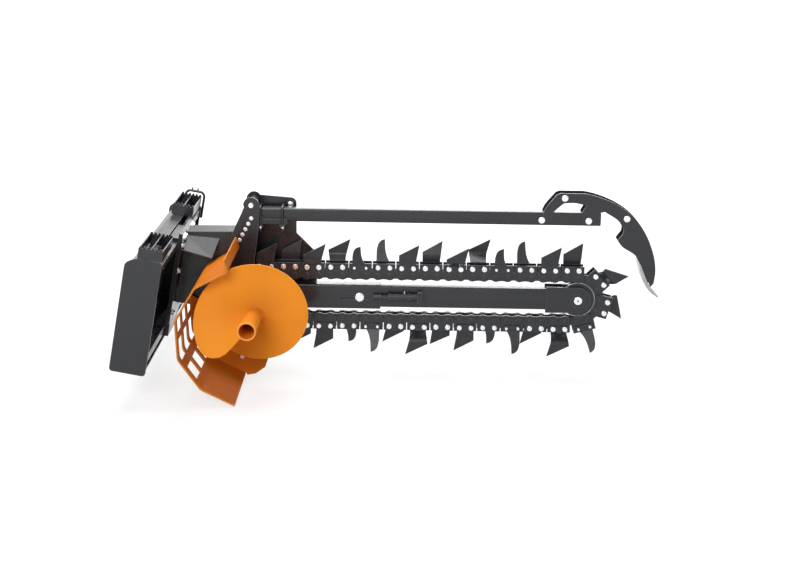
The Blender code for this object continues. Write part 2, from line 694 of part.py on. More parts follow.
def chain_pin(index):
    """Centre of a pin, counted from above the head shaft along the upper run."""
    radius = pin_circle_radius()
    index %= LOOP_PITCHES
    wrap = TEETH // 2
    if index <= SPAN_PITCHES:
        return Vector((index * PITCH, radius))
    if index < SPAN_PITCHES + wrap:
        angle = math.pi / 2 - (index - SPAN_PITCHES) * 2 * math.pi / TEETH
        return Vector((SPAN_PITCHES * PITCH + radius * math.cos(angle), radius * math.sin(angle)))
    if index <= 2 * SPAN_PITCHES + wrap:
        return Vector(((2 * SPAN_PITCHES + wrap - index) * PITCH, -radius))
    angle = -math.pi / 2 - (index - 2 * SPAN_PITCHES - wrap) * 2 * math.pi / TEETH
    return Vector((radius * math.cos(angle), radius * math.sin(angle)))


def outward(run):
    """The side of a run that faces away from the loop, which goes clockwise."""
    return Vector((-run.y, run.x))


def inner_link(first_pin, shift, along=0.0):
    """The middle of an inner link, shifted outwards and along the run."""
    a = chain_pin(first_pin)
    b = chain_pin(first_pin + 1)
    run = (b - a).normalized()
    return (a + b) / 2 + outward(run) * shift + run * along


def strip_outline(first, last):
    """Side bars of one chain section, from mid-link to mid-link."""
    outer = [inner_link(first - 1, LINK_OUT, GAP / 2)]
    inner = [inner_link(first - 1, -BAR_IN, GAP / 2)]
    bar_end = (PITCH - LINK_SPACE) / 2
    for a in range(first, last, 2):
        start = chain_pin(a)
        end = chain_pin(a + 1)
        run = (end - start).normalized()
        up = outward(run)
        outer += [start + up * LINK_OUT - run * bar_end, start + up * BAR_OUT - run * bar_end,
                  end + up * BAR_OUT + run * bar_end, end + up * LINK_OUT + run * bar_end]
        inner += [start - up * BAR_IN, end - up * BAR_IN]
        along = -GAP / 2 if a + 2 == last else 0.0
        outer.append(inner_link(a + 1, LINK_OUT, along))
        inner.append(inner_link(a + 1, -BAR_IN, along))
    return [tuple(point) for point in outer + list(reversed(inner))]


def chain_section_body(first, last):
    """Two side strips tied by the section's pins, as one closed body with an open channel."""
    outline = strip_outline(first, last)
    holes = [circle(*chain_pin(pin), PIN_R, 6) for pin in range(first, last)]
    bm = bmesh.new()
    hole_rings = []
    for side in (-1, 1):
        walls = []
        for y, loops in ((side * CHAIN_HALF, [outline]), (side * CHANNEL_HALF, [outline, *holes])):
            edges = []
            rings = []
            for loop in loops:
                verts = [bm.verts.new((x, y, z)) for x, z in loop]
                rings.append(verts)
                edges += [bm.edges.new((verts[i - 1], verts[i])) for i in range(len(verts))]
            bmesh.ops.triangle_fill(bm, use_beauty=True, use_dissolve=False, edges=edges)
            walls.append(rings)
        outside = walls[0][0]
        inside = walls[1][0]
        for i in range(len(outline)):
            bm.faces.new((outside[i - 1], outside[i], inside[i], inside[i - 1]))
        hole_rings.append(walls[1][1:])
    for near, far in zip(*hole_rings):
        for i in range(len(near)):
            bm.faces.new((near[i - 1], near[i], far[i], far[i - 1]))
    return bm


TOOTH_SLANT = [(-0.037, -0.012), (0.039, -0.012), (0.039, 0.022), (0.049, 0.104), (-0.038, 0.057)]
TOOTH_LARGE = [(-0.037, -0.012), (0.039, -0.012), (0.045, 0.030), (0.054, 0.112), (-0.040, 0.062)]
TOOTH_FINGER = [(-0.037, -0.012), (0.037, -0.012), (0.022, 0.019), (0.004, 0.048), (-0.001, 0.094),
                (-0.028, 0.086), (-0.034, 0.022)]
TOOTH_ORDER = (TOOTH_SLANT, TOOTH_SLANT, TOOTH_LARGE, TOOTH_LARGE, TOOTH_FINGER, TOOTH_FINGER)
FIRST_TOOTH_LINK = 34       # pin index of the link where the tooth pattern starts
FIRST_TOOTH_KIND = 2


def tooth_kind(first_pin):
    order = (first_pin - FIRST_TOOTH_LINK) % LOOP_PITCHES // 2
    return (FIRST_TOOTH_KIND + order) % len(TOOTH_ORDER)


def tooth(first_pin, parent):
    """A tooth plate bolted to the outside of one link; kinds take turns on the two sides."""
    kind = tooth_kind(first_pin)
    side = 1 if kind % 2 else -1
    start = chain_pin(first_pin)
    end = chain_pin(first_pin + 1)
    run = (end - start).normalized()
    up = outward(run)
    middle = (start + end) / 2 + up * TOOTH_BOLT_OUT
    outline = [tuple(middle + run * t + up * h) for t, h in TOOTH_ORDER[kind]]
    inner = side * (CHAIN_HALF - TOOTH_SINK)
    outer = side * (CHAIN_HALF + TOOTH_T)
    return add(f"tooth_{first_pin}", slab(outline, min(inner, outer), max(inner, outer)), TOOTH_STEEL, parent)


def chain(parent):
    links = LOOP_PITCHES // 2
    for section in range(CHAIN_SECTIONS):
        first = 2 * (links * section // CHAIN_SECTIONS)
        last = 2 * (links * (section + 1) // CHAIN_SECTIONS)
        body = add(f"chain_section_{section + 1:02d}", chain_section_body(first, last), TOOTH_STEEL, parent)
        for pin in range(first, last, 2):
            boolean(body, tooth(pin, parent), "UNION")


# Boom ------------------------------------------------------------------------------------------------------

def nose_x():
    return SPAN_PITCHES * PITCH


def boom_end():
    return nose_x() - disc_radius() - BOOM_NOSE_GAP


def tension_start():
    """The cylinder's rear end, clear of the sleeve when the boom is drawn all the way in."""
    return SLEEVE_END + TENSION_COLLAR_T + TAKE_UP + 2 * RUN_GAP


def sleeve(parent):
    """Head-side sleeve around the boom bar, with a slot for the take-up bolt in each side."""
    h = SLEEVE_HALF_H
    w = SLEEVE_HALF
    body = add("boom_sleeve", block((SLEEVE_START, -w, -h), (SLEEVE_END, w, h)), COATED, parent)
    hollow = block((SLEEVE_START - 0.01, -BOOM_HALF - RUN_GAP, -BOOM_HALF_H - RUN_GAP),
                   (SLEEVE_END + 0.01, BOOM_HALF + RUN_GAP, BOOM_HALF_H + RUN_GAP))
    boolean(body, add("sleeve_hollow", hollow, COATED, parent), "DIFFERENCE")
    slot = arc(SLOT_START + SLOT_HALF_H, 0, SLOT_HALF_H, 270, 90, 6)
    slot += arc(SLOT_END - SLOT_HALF_H, 0, SLOT_HALF_H, 90, -90, 6)
    boolean(body, add("sleeve_slot", slab(slot, -w - 0.01, w + 0.01), COATED, parent), "DIFFERENCE")
    collar = SLEEVE_END + TENSION_COLLAR_T
    foot = SLEEVE_END - TAKE_UP
    tip = tension_start() + TENSION_GRIP
    add("tensioner_rod",
        turned([(foot, 0), (foot, TENSION_COLLAR_R), (collar, TENSION_COLLAR_R), (collar, TENSION_ROD_R),
                (tip, TENSION_ROD_R), (tip, 0)],
               12, (0, TENSION_Y, TENSION_Z), "X"), ZINC, parent, smooth=True)


def boom(parent):
    """Hollow bar that slides in the sleeve, its slot bolt and the tensioner cylinder."""
    h = BOOM_HALF_H
    w = BOOM_HALF
    body = add("boom_bar", block((BOOM_START, -w, -h), (boom_end(), w, h)), COATED, parent)
    t = BOOM_TUBE_WALL
    hollow = block((BOOM_START - 0.01, -w + t, -h + t), (boom_end() + 0.01, w - t, h - t))
    boolean(body, add("boom_hollow", hollow, COATED, parent), "DIFFERENCE")
    hole = rod(-w - 0.01, w + 0.01, SLOT_BOLT_R + GAP, 12, (SLOT_BOLT_X, 0))
    boolean(body, add("slot_bolt_hole", hole, COATED, parent), "DIFFERENCE")
    washer = SLEEVE_HALF + RUN_GAP
    head = washer + 0.014
    bolt = [(-head, 0), (-head, 0.019), (-washer, 0.019), (-washer, SLOT_BOLT_R), (washer, SLOT_BOLT_R),
            (washer, 0.019), (head, 0.019), (head, 0)]
    add("slot_bolt", turned(bolt, 12, (SLOT_BOLT_X, 0)), ZINC, parent, smooth=True)
    start = tension_start()
    end = TENSION_END - TENSION_ANCHOR_T
    bore = TENSION_ROD_R + RUN_GAP
    bottom = start + TENSION_GRIP + TAKE_UP + 0.005
    profile = [(start, bore), (start, TENSION_R), (end, TENSION_R), (end, 0), (bottom, 0), (bottom, bore)]
    add("tensioner_cylinder",
        turned(profile, 16, (0, TENSION_Y, TENSION_Z), "X"), COATED, parent, smooth=True)
    add("tensioner_anchor",
        block((end + GAP, TENSION_Y - TENSION_R, TENSION_Z - 0.026),
              (TENSION_END, -w - GAP, TENSION_Z + 0.026)), COATED, parent)


def fork(parent):
    """Nose plates on both sides of the bar, and the axle through the idler."""
    x = nose_x()
    inner = BOOM_HALF + GAP
    outer = inner + FORK_T
    rear = x - FORK_REACH
    outline = [(rear, -FORK_HALF_H)] + arc(x, 0, FORK_HALF_H, -90, 90, 12) + [(rear, FORK_HALF_H)]
    bore = circle(x, 0, AXLE_R + GAP, SHAFT_SIDES)
    add("fork_plate_near", slab(outline, -outer, -inner, [bore]), COATED, parent)
    add("fork_plate_far", slab(outline, inner, outer, [bore]), COATED, parent)
    face = outer + GAP
    end = face + 0.009
    profile = [(-end, 0), (-end, 0.019), (-face - 0.003, 0.019), (-face - 0.003, AXLE_BOSS_R),
               (-face, AXLE_BOSS_R), (-face, AXLE_R), (face, AXLE_R), (face, AXLE_BOSS_R),
               (face + 0.003, AXLE_BOSS_R), (face + 0.003, 0.019), (end, 0.019), (end, 0)]
    add("idler_axle", turned(profile, 24, (x, 0)), ZINC, parent, smooth=True)


def idler(parent):
    bore = AXLE_R + RUN_GAP
    hub = 0.030
    side = BOOM_HALF - RUN_GAP
    drum = drum_radius()
    tip = disc_radius()
    profile = [(-side, bore), (-side, hub), (-WHEEL_HALF, hub), (-WHEEL_HALF, drum), (-SPROCKET_HALF, drum),
               (-SPROCKET_HALF, tip), (SPROCKET_HALF, tip), (SPROCKET_HALF, drum), (WHEEL_HALF, drum),
               (WHEEL_HALF, hub), (side, hub), (side, bore)]
    add("idler_wheel", turned(profile, 36), ZINC, parent, smooth=True)


# Crumber arm -----------------------------------------------------------------------------------------------

def saddle_outer():
    return BAR_HALF + RUN_GAP + SADDLE_T


def saddle(parent):
    """Channel under the bar, hung from the pivot; its ears stand up past the bar."""
    x, z = -PIVOT_X, -PIVOT_Z
    low = BAR_BOTTOM - RUN_GAP - SADDLE_T
    outer = saddle_outer()
    outline = [(SADDLE_START, low), (SADDLE_END, low), (SADDLE_END, BAR_BOTTOM + 0.012),
               (0.018, BAR_BOTTOM + 0.012)]
    outline += arc(PIVOT_X, PIVOT_Z, SADDLE_EAR_R, 0, 180, 6)
    outline.append((SADDLE_START, PIVOT_Z - SADDLE_EAR_R))
    outline = [(px + x, pz + z) for px, pz in outline]
    hole = circle(0, 0, PIVOT_PIN_R + RUN_GAP, 12)
    body = add("crumber_saddle", slab(outline, -outer, outer, [hole]), COATED, parent)
    inside = BAR_HALF + RUN_GAP
    channel = block((SADDLE_START + x - 0.1, -inside, BAR_BOTTOM - RUN_GAP + z),
                    (SADDLE_END + x + 0.1, inside, 0.1))
    boolean(body, add("saddle_channel", channel, COATED, parent), "DIFFERENCE")
    leg = outer + UBOLT_R + GAP
    for i, at in enumerate(UBOLT_X):
        top = BAR_TOP + UBOLT_R + RUN_GAP
        bend = 0.010
        path = [(at, -leg, low - UBOLT_DROP + SADDLE_T), (at, -leg, top - bend), (at, -leg + 0.003, top - 0.003),
                (at, -leg + bend, top), (at, leg - bend, top), (at, leg - 0.003, top - 0.003),
                (at, leg, top - bend), (at, leg, low - UBOLT_DROP + SADDLE_T)]
        path = [(px + x, py, pz + z) for px, py, pz in path]
        add(f"u_bolt_{'rear' if i == 0 else 'front'}", tube_along(path, UBOLT_R), ZINC, parent, smooth=True)


def crumber_bar(parent):
    """Square tube that slides in the saddle."""
    x, z = -PIVOT_X, -PIVOT_Z
    t = BAR_WALL
    start = BAR_START + x
    end = nose_x() + BAR_PAST_NOSE + x
    body = block((start, -BAR_HALF, BAR_BOTTOM + z), (end, BAR_HALF, BAR_TOP + z))
    hollow = block((start - 0.01, -BAR_HALF + t, BAR_BOTTOM + t + z), (end + 0.01, BAR_HALF - t, BAR_TOP - t + z))
    boolean(add("crumber_bar", body, COATED, parent), add("bar_hollow", hollow, COATED, parent), "DIFFERENCE")


def shoe(parent):
    """Two hooked plates that clasp the bar's end, the spacers between them and the crumbing blade."""
    x, z = nose_x() - PIVOT_X, -PIVOT_Z
    inner = BAR_HALF + GAP
    outer = inner + SHOE_T
    outline = [(px + x, pz + z) for px, pz in SHOE_PLATE]
    window = [(px + x, pz + z) for px, pz in SHOE_WINDOW]
    add("shoe_plate_near", slab(outline, -outer, -inner, [window]), COATED, parent)
    add("shoe_plate_far", slab(outline, inner, outer, [window]), COATED, parent)
    for name, (px, pz) in SHOE_SPACERS.items():
        add(name, rod(-inner + GAP, inner - GAP, SHOE_SPACER_R, 12, (px + x, pz + z)), COATED, parent)
    blade = [(px + x, pz + z) for px, pz in BLADE_OUTLINE]
    add("crumber_blade", slab(blade, -BLADE_HALF, BLADE_HALF), ZINC, parent)


# Whole object ----------------------------------------------------------------------------------------------

def build():
    clear_scene()
    hitch = empty("hitch_axis", tilt=LEAN)
    cheek("cheek_near", -HITCH_HALF, hitch)
    cheek("cheek_far", HITCH_HALF - CHEEK_T, hitch)
    coupler(hitch)
    rails(hitch)
    step("step_near", -HITCH_HALF, hitch)
    step("step_far", HITCH_HALF - CHEEK_T - STEP_LENGTH - 0.010, hitch)
    hose_guide(hitch)
    carriage(empty("shift_axis", tilt=LEAN))
    head = empty("head_axis", (HEAD_REACH, 0, -HEAD_DROP))
    pedestal(head)
    mast(head)
    pivot(head)
    drive(head)
    guard(head)
    sleeve(head)
    spin = empty("shaft_axis", (HEAD_REACH, 0, -HEAD_DROP))
    head_shaft(spin)
    auger_flight(spin)
    take_up = empty("boom_axis", (HEAD_REACH, 0, -HEAD_DROP))
    boom(take_up)
    fork(take_up)
    chain(take_up)
    idler(empty("idler_axis", (nose_x(), 0, 0), parent=take_up))
    crumber = empty("crumber_axis", (HEAD_REACH + PIVOT_X, 0, -HEAD_DROP + PIVOT_Z))
    saddle(crumber)
    crumber_bar(crumber)
    shoe(crumber)


build()
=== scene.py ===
"""Finished surfaces and fine pieces of a side-shift chain trencher, made around its construction model.

Metres, +Z up. X runs along the boom to its nose, and Y = 0 is the boom's mid-plane.
"""

import json
import math

import bmesh
import bpy
from bpy.props import FloatProperty, FloatVectorProperty, IntProperty, PointerProperty
from mathutils import Matrix, Vector

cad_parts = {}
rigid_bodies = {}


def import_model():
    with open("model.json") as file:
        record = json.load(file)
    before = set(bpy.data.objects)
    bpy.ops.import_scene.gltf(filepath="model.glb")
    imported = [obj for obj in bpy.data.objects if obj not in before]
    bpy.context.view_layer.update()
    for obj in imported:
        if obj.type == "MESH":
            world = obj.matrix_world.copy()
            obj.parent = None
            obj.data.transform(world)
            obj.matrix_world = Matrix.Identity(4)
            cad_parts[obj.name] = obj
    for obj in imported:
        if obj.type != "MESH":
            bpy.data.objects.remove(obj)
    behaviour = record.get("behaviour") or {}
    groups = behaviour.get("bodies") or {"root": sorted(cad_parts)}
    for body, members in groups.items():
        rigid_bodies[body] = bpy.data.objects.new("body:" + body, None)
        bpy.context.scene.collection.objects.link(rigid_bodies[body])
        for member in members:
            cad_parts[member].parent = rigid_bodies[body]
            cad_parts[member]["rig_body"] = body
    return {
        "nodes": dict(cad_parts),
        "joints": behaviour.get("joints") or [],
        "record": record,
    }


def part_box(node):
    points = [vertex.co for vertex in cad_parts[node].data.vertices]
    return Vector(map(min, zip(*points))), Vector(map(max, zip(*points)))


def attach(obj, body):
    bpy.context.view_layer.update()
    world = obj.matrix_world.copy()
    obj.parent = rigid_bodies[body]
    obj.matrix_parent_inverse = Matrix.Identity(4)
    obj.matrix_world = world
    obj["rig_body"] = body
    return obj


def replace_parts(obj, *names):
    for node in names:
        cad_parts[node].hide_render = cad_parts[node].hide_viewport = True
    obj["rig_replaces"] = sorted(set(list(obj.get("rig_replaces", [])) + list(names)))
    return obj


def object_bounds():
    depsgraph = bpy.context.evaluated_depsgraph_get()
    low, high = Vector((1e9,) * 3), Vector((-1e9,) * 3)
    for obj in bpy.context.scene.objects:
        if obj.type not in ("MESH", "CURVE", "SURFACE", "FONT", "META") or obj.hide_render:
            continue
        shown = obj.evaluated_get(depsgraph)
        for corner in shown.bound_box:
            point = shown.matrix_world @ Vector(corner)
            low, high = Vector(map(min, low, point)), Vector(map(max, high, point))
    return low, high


bl_info = {
    "name": "Chain trencher finish",
    "version": (1, 0, 0),
    "blender": (4, 5, 0),
    "location": "View3D > Sidebar > Trencher",
    "description": "Chain, teeth, auger, formed plates, fasteners and coats of a side-shift chain trencher",
    "category": "Object",
}

for leftover in list(bpy.data.objects):
    bpy.data.objects.remove(leftover, do_unlink=True)
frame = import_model()
CAD_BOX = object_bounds()

JOINTS = {joint["name"]: joint for joint in frame["joints"]}


def axis_of(joint):
    """Where a joint's axis crosses the boom's mid-plane."""
    x, _, z = JOINTS[joint]["pos_m"]
    return Vector((x, 0, z))


HEAD = axis_of("head_shaft_spin")
NOSE = axis_of("idler_spin")
PIVOT = axis_of("crumber_swing")
COUPLER_AXIS = Vector(frame["record"]["mounts"][0]["axis"])
LEAN = math.asin(COUPLER_AXIS.z)
HITCH = Matrix.Rotation(LEAN, 4, "Y")

SPAN_PITCHES = 27           # chain pitches from the head shaft to the idler
WHEEL_TEETH = 12            # on the head sprocket, and pitches in a full turn of either wheel
LOOP_PINS = 2 * SPAN_PITCHES + WHEEL_TEETH
PITCH = (NOSE.x - HEAD.x) / SPAN_PITCHES
PIN_CIRCLE = PITCH / (2 * math.sin(math.pi / WHEEL_TEETH))
GUARD_THICKNESS = 0.006
GUARD_WINDOW_COLUMNS = 3
GUARD_WINDOW_LENGTH = 0.098
GUARD_WINDOW_MARGIN = 0.045     # from the sheet's near edge to its first window
GUARD_WINDOW_PITCH = 0.136
GUARD_WINDOW_ROWS = ((2, -0.1165, -0.052), (2, -0.0175, 0.072), (3, -0.064, -0.006))   # fold, from it, to it
FOLD_STEPS = (-1.0, -0.5, 0.0, 0.5, 1.0)     # where a bend is cut, in shares of its half length
WHEEL_HALF = 0.0058         # half the toothed wheels' thickness
TOOTH_FACE = 0.0290         # tooth plates' inner face from the mid-plane
TOOTH_BEND = 0.006          # half length of a tooth's bends
STYLES_START = 34           # pin of the link where the pattern of teeth is counted from
STYLES_FIRST = 2            # tooth of the pattern that the link carries
HOLE_STEPS = 40             # sides of a hole made round
BEAD_SIDES = 8
BEAD_RIPPLE = 0.14          # a weld bead's swell as a share of its radius
FASTENER_SHARP = 24.0       # degrees between faces that shade as an edge
SIDES = ((-1, "near"), (1, "far"))

COAT, ORANGE, ZINC, CHAIN_STEEL, BARE_STEEL = (
    "charcoal_coat", "orange_coat", "zinc_plate", "chain_steel", "worn_steel")
# The guard's finish is the orange coat darkened: painted shade
GUARD_SHADE_COAT = "orange_guard_painted_shade"


# Settings -----------------------------------------------------------------------------------------------

def length(name, default, description):
    """A size in metres for a settings group."""
    return FloatProperty(name=name, description=description, default=default, min=0.0, unit="LENGTH",
                         precision=4)


def colour(name, default, description):
    return FloatVectorProperty(name=name, description=description, default=default, subtype="COLOR",
                               size=3, min=0.0, max=1.0)


class TrencherFinishes(bpy.types.PropertyGroup):
    charcoal: colour("Charcoal", (0.017, 0.018, 0.022), "Powder coat of the frame, boom and crumber")
    # Lighter than the charcoal: partly a thinner coat over the edges, partly painted highlight along them
    charcoal_edge_coat_and_highlight: colour("Charcoal edge", (0.085, 0.087, 0.094), "Thin coat over the plates' edges")
    orange: colour("Orange", (0.860, 0.285, 0.022), "Powder coat of the auger and its guard")
    # The orange coat darkened: painted shade for the shadowed inside of the guard and its end plate
    guard_orange_shaded: colour("Guard orange", (0.620, 0.165, 0.008), "Thicker powder coat of the folded guard")
    # Lighter than the orange: partly a thinner coat over the edges, partly painted highlight along them
    orange_edge_coat_and_highlight: colour("Orange edge", (0.920, 0.420, 0.100), "Thin coat over the sheet's edges")
    zinc: colour("Zinc", (0.800, 0.810, 0.830), "Plating of bolts, nuts and shafts")
    chain: colour("Chain steel", (0.019, 0.020, 0.024), "Hardened chain plates and teeth")
    bare: colour("Bare steel", (0.400, 0.402, 0.410), "Steel kept bright by running or by soil")
    peel_depth: length("Orange peel", 0.00005, "Depth of the powder coat's ripple")


class TrencherEdges(bpy.types.PropertyGroup):
    plate: length("Plate edge", 0.0016, "Rounding along the edges of cut plates")
    sheet: length("Sheet edge", 0.0010, "Rounding along the edges of thin sheet")
    turned: length("Turned edge", 0.0008, "Rounding along the edges of turned pieces")
    tube_corner: length("Tube corner", 0.0060, "Corner radius of the square tubes")
    fold: length("Fold", 0.0110, "Set-back of the guard's folds")
    weld: length("Weld", 0.0034, "Radius of the weld beads")


class TrencherChain(bpy.types.PropertyGroup):
    bar_out: length("Bar outer edge", 0.0494, "Side bar's outer edge from the pins")
    bar_in: length("Bar inner edge", 0.0235, "Side bar's inner edge from the pins")
    bar_over: length("Bar overhang", 0.0235, "Side bar's length past each pin")
    bar_far: length("Bar outer face", 0.0286, "Side bar's outer face from the mid-plane")
    bar_thick: length("Bar thickness", 0.0080, "Thickness of the side bars")
    inner_far: length("Inner plate face", 0.0198, "Inner plate's outer face from the mid-plane")
    inner_thick: length("Inner plate thickness", 0.0070, "Thickness of the inner plates")
    inner_round: length("Inner plate radius", 0.0225, "Radius of the inner plates' ends")
    barrel: length("Barrel radius", 0.0092, "Barrel that meets the wheels")
    pin: length("Pin radius", 0.0075, "Link pins")
    bolt_out: length("Tooth bolts", 0.0324, "Tooth bolts' distance outside the pins")
    tooth_thick: length("Tooth thickness", 0.0080, "Thickness of the tooth plates")
    tip_circle: length("Wheel tips", 0.0884, "Tip radius of the toothed wheels")
    seat: length("Wheel seat", 0.0220, "Radius of the hollows between the wheels' teeth")


class TrencherAuger(bpy.types.PropertyGroup):
    flight: length("Flight radius", 0.2260, "Outer radius of the spiral flight")
    thickness: length("Flight thickness", 0.0060, "Thickness of the flight")
    pitch: length("Flight pitch", 0.3300, "Travel of the flight in one turn")
    turn_steps: IntProperty(name="Steps", description="Steps in a full turn of the flight", default=96,
                            min=24)


class TrencherStudio(bpy.types.PropertyGroup):
    lens: FloatProperty(name="Lens", description="Camera's focal length in millimetres", default=64.35)
    eye: FloatVectorProperty(name="Eye", description="Camera's place", default=(1.0712, -5.984, 1.5867),
                             subtype="TRANSLATION", unit="LENGTH")
    down: FloatProperty(name="Tilt", description="Camera's angle below the horizon",
                        default=math.radians(14.73), subtype="ANGLE")
    roll: FloatProperty(name="Roll", description="Camera's turn about its own axis",
                        default=math.radians(0.9), subtype="ANGLE")
    ambient: FloatProperty(name="Ambient", description="Light from all round", default=0.23, min=0.0)
    key: FloatProperty(name="Key", description="Overhead soft box", default=175.0, min=0.0, unit="POWER")
    front: FloatProperty(name="Front", description="Soft box behind the camera", default=188.0, min=0.0,
                         unit="POWER")
    back: FloatProperty(name="Back", description="Low soft box that the upper faces mirror", default=115.0,
                        min=0.0, unit="POWER")
    floor: colour("Floor", (0.80, 0.80, 0.80), "Pale floor")


SETTINGS = {
    "trencher_finishes": TrencherFinishes,
    "trencher_edges": TrencherEdges,
    "trencher_chain": TrencherChain,
    "trencher_auger": TrencherAuger,
    "trencher_studio": TrencherStudio,
}


def finishes():
    return bpy.context.scene.trencher_finishes


def edges():
    return bpy.context.scene.trencher_edges


def chain():
    return bpy.context.scene.trencher_chain


# Finishes -----------------------------------------------------------------------------------------------

def new_finish(name):
    made = bpy.data.materials.new(name)
    made.use_nodes = True
    return made, made.node_tree, made.node_tree.nodes["Principled BSDF"]


def grain(tree, scale, detail, stretch=(1.0, 1.0, 1.0)):
    """Noise in the piece's own space, stretched along the way the surface was worked."""
    spot = tree.nodes.new("ShaderNodeTexCoord")
    place = tree.nodes.new("ShaderNodeMapping")
    place.inputs["Scale"].default_value = stretch
    noise = tree.nodes.new("ShaderNodeTexNoise")
    noise.inputs["Scale"].default_value = scale
    noise.inputs["Detail"].default_value = detail
    tree.links.new(spot.outputs["Object"], place.inputs["Vector"])
    tree.links.new(place.outputs["Vector"], noise.inputs["Vector"])
    return noise.outputs["Fac"]


def tone(tree, shader, value, base, dark, light):
    """Let the base colour drift between a darker and a lighter shade."""
    ramp = tree.nodes.new("ShaderNodeValToRGB")
    ramp.color_ramp.elements[0].position = 0.30
    ramp.color_ramp.elements[1].position = 0.72
    ramp.color_ramp.elements[0].color = (*[channel * dark for channel in base], 1.0)
    ramp.color_ramp.elements[1].color = (*[min(1.0, channel * light) for channel in base], 1.0)
    tree.links.new(value, ramp.inputs["Fac"])
    tree.links.new(ramp.outputs["Color"], shader.inputs["Base Color"])


def uneven(tree, value, socket, low, high):
    """Let a socket drift between two values."""
    span = tree.nodes.new("ShaderNodeMapRange")
    span.inputs["From Min"].default_value = 0.30
    span.inputs["From Max"].default_value = 0.70
    span.inputs["To Min"].default_value = low
    span.inputs["To Max"].default_value = high
    tree.links.new(value, span.inputs["Value"])
    tree.links.new(span.outputs["Result"], socket)


def relief(tree, shader, value, depth, strength):
    bump = tree.nodes.new("ShaderNodeBump")
    bump.inputs["Strength"].default_value = strength
    bump.inputs["Distance"].default_value = depth
    tree.links.new(value, bump.inputs["Height"])
    tree.links.new(bump.outputs["Normal"], shader.inputs["Normal"])


def powder_coat(name, base, low, high, clear, mirror):
    """Baked powder with a soft ripple: roughness from low to high, a clear skin and a mirror's strength."""
    made, tree, shader = new_finish(name)
    tone(tree, shader, grain(tree, 4.0, 1.0), base, 0.92, 1.08)
    uneven(tree, grain(tree, 38.0, 3.0), shader.inputs["Roughness"], low, high)
    relief(tree, shader, grain(tree, 320.0, 0.0), finishes().peel_depth, 0.20)
    shader.inputs["Specular IOR Level"].default_value = mirror
    shader.inputs["Coat Weight"].default_value = clear
    shader.inputs["Coat Roughness"].default_value = 0.12
    return made


def plated(name, base, low, high):
    """Bright zinc with a faint cloud in it."""
    made, tree, shader = new_finish(name)
    shader.inputs["Metallic"].default_value = 1.0
    tone(tree, shader, grain(tree, 130.0, 3.0), base, 0.90, 1.08)
    uneven(tree, grain(tree, 260.0, 2.0), shader.inputs["Roughness"], low, high)
    relief(tree, shader, grain(tree, 900.0, 1.0), 0.00006, 0.3)
    return made


def forged(name, base, low, high):
    """Heat-treated black steel with scale, a little oil and fine pits."""
    made, tree, shader = new_finish(name)
    shader.inputs["Metallic"].default_value = 0.15
    shader.inputs["Specular IOR Level"].default_value = 0.38
    tone(tree, shader, grain(tree, 26.0, 5.0), base, 0.72, 1.35)
    uneven(tree, grain(tree, 70.0, 4.0), shader.inputs["Roughness"], low, high)
    relief(tree, shader, grain(tree, 520.0, 3.0), 0.00022, 0.4)
    shader.inputs["Coat Weight"].default_value = 0.15
    shader.inputs["Coat Roughness"].default_value = 0.22
    return made


def scoured(name, base, low, high):
    """Bare steel with fine scratches along X."""
    made, tree, shader = new_finish(name)
    shader.inputs["Metallic"].default_value = 1.0
    tone(tree, shader, grain(tree, 60.0, 4.0), base, 0.78, 1.06)
    scratches = grain(tree, 900.0, 2.0, (0.06, 1.0, 1.0))
    uneven(tree, scratches, shader.inputs["Roughness"], low, high)
    relief(tree, shader, scratches, 0.00008, 0.3)
    return made


def make_finishes():
    values = finishes()
    dark = {"clear": 0.15, "mirror": 0.38}
    satin = {"low": 0.46, "high": 0.56, "clear": 0.0}
    return {
        COAT: powder_coat(COAT, values.charcoal, low=0.24, high=0.34, **dark),
        # lighter edge copy of the charcoal: partly thinner coat, partly painted highlight
        COAT + "_edge": powder_coat(COAT + "_edge", values.charcoal_edge_coat_and_highlight, low=0.30, high=0.42, **dark),
        ORANGE: powder_coat(ORANGE, values.orange, mirror=0.09, **satin),
        # darker copy of the orange: painted shade for the guard
        GUARD_SHADE_COAT: powder_coat(GUARD_SHADE_COAT, values.guard_orange_shaded, mirror=0.12, **satin),
        # lighter edge copy of the orange: partly thinner coat, partly painted highlight
        ORANGE + "_edge": powder_coat(ORANGE + "_edge", values.orange_edge_coat_and_highlight, mirror=0.09, **satin),
        ZINC: plated(ZINC, values.zinc, low=0.20, high=0.36),
        CHAIN_STEEL: forged(CHAIN_STEEL, values.chain, low=0.26, high=0.42),
        # lighter edges on the chain and teeth: partly thinner finish, partly painted highlight
        CHAIN_STEEL + "_edge": forged(CHAIN_STEEL + "_edge", values.charcoal_edge_coat_and_highlight, low=0.30, high=0.44),
        BARE_STEEL: scoured(BARE_STEEL, values.bare, low=0.20, high=0.38),
    }


FINISH = {}                 # filled by main once the settings are registered


# Shaping ------------------------------------------------------------------------------------------------

def mesh_of(name, bm):
    bmesh.ops.recalc_face_normals(bm, faces=bm.faces)
    mesh = bpy.data.meshes.new(name)
    bm.to_mesh(mesh)
    bm.free()
    return mesh


def put(name, bm, body, finish, nodes=(), rounding=0.0, sharp=32.0):
    """Turn a bmesh into a finished piece that rides on a body and stands for its construction nodes."""
    return put_mesh(name, mesh_of(name, bm), body, finish, rounding, Matrix.Identity(4), nodes, sharp)


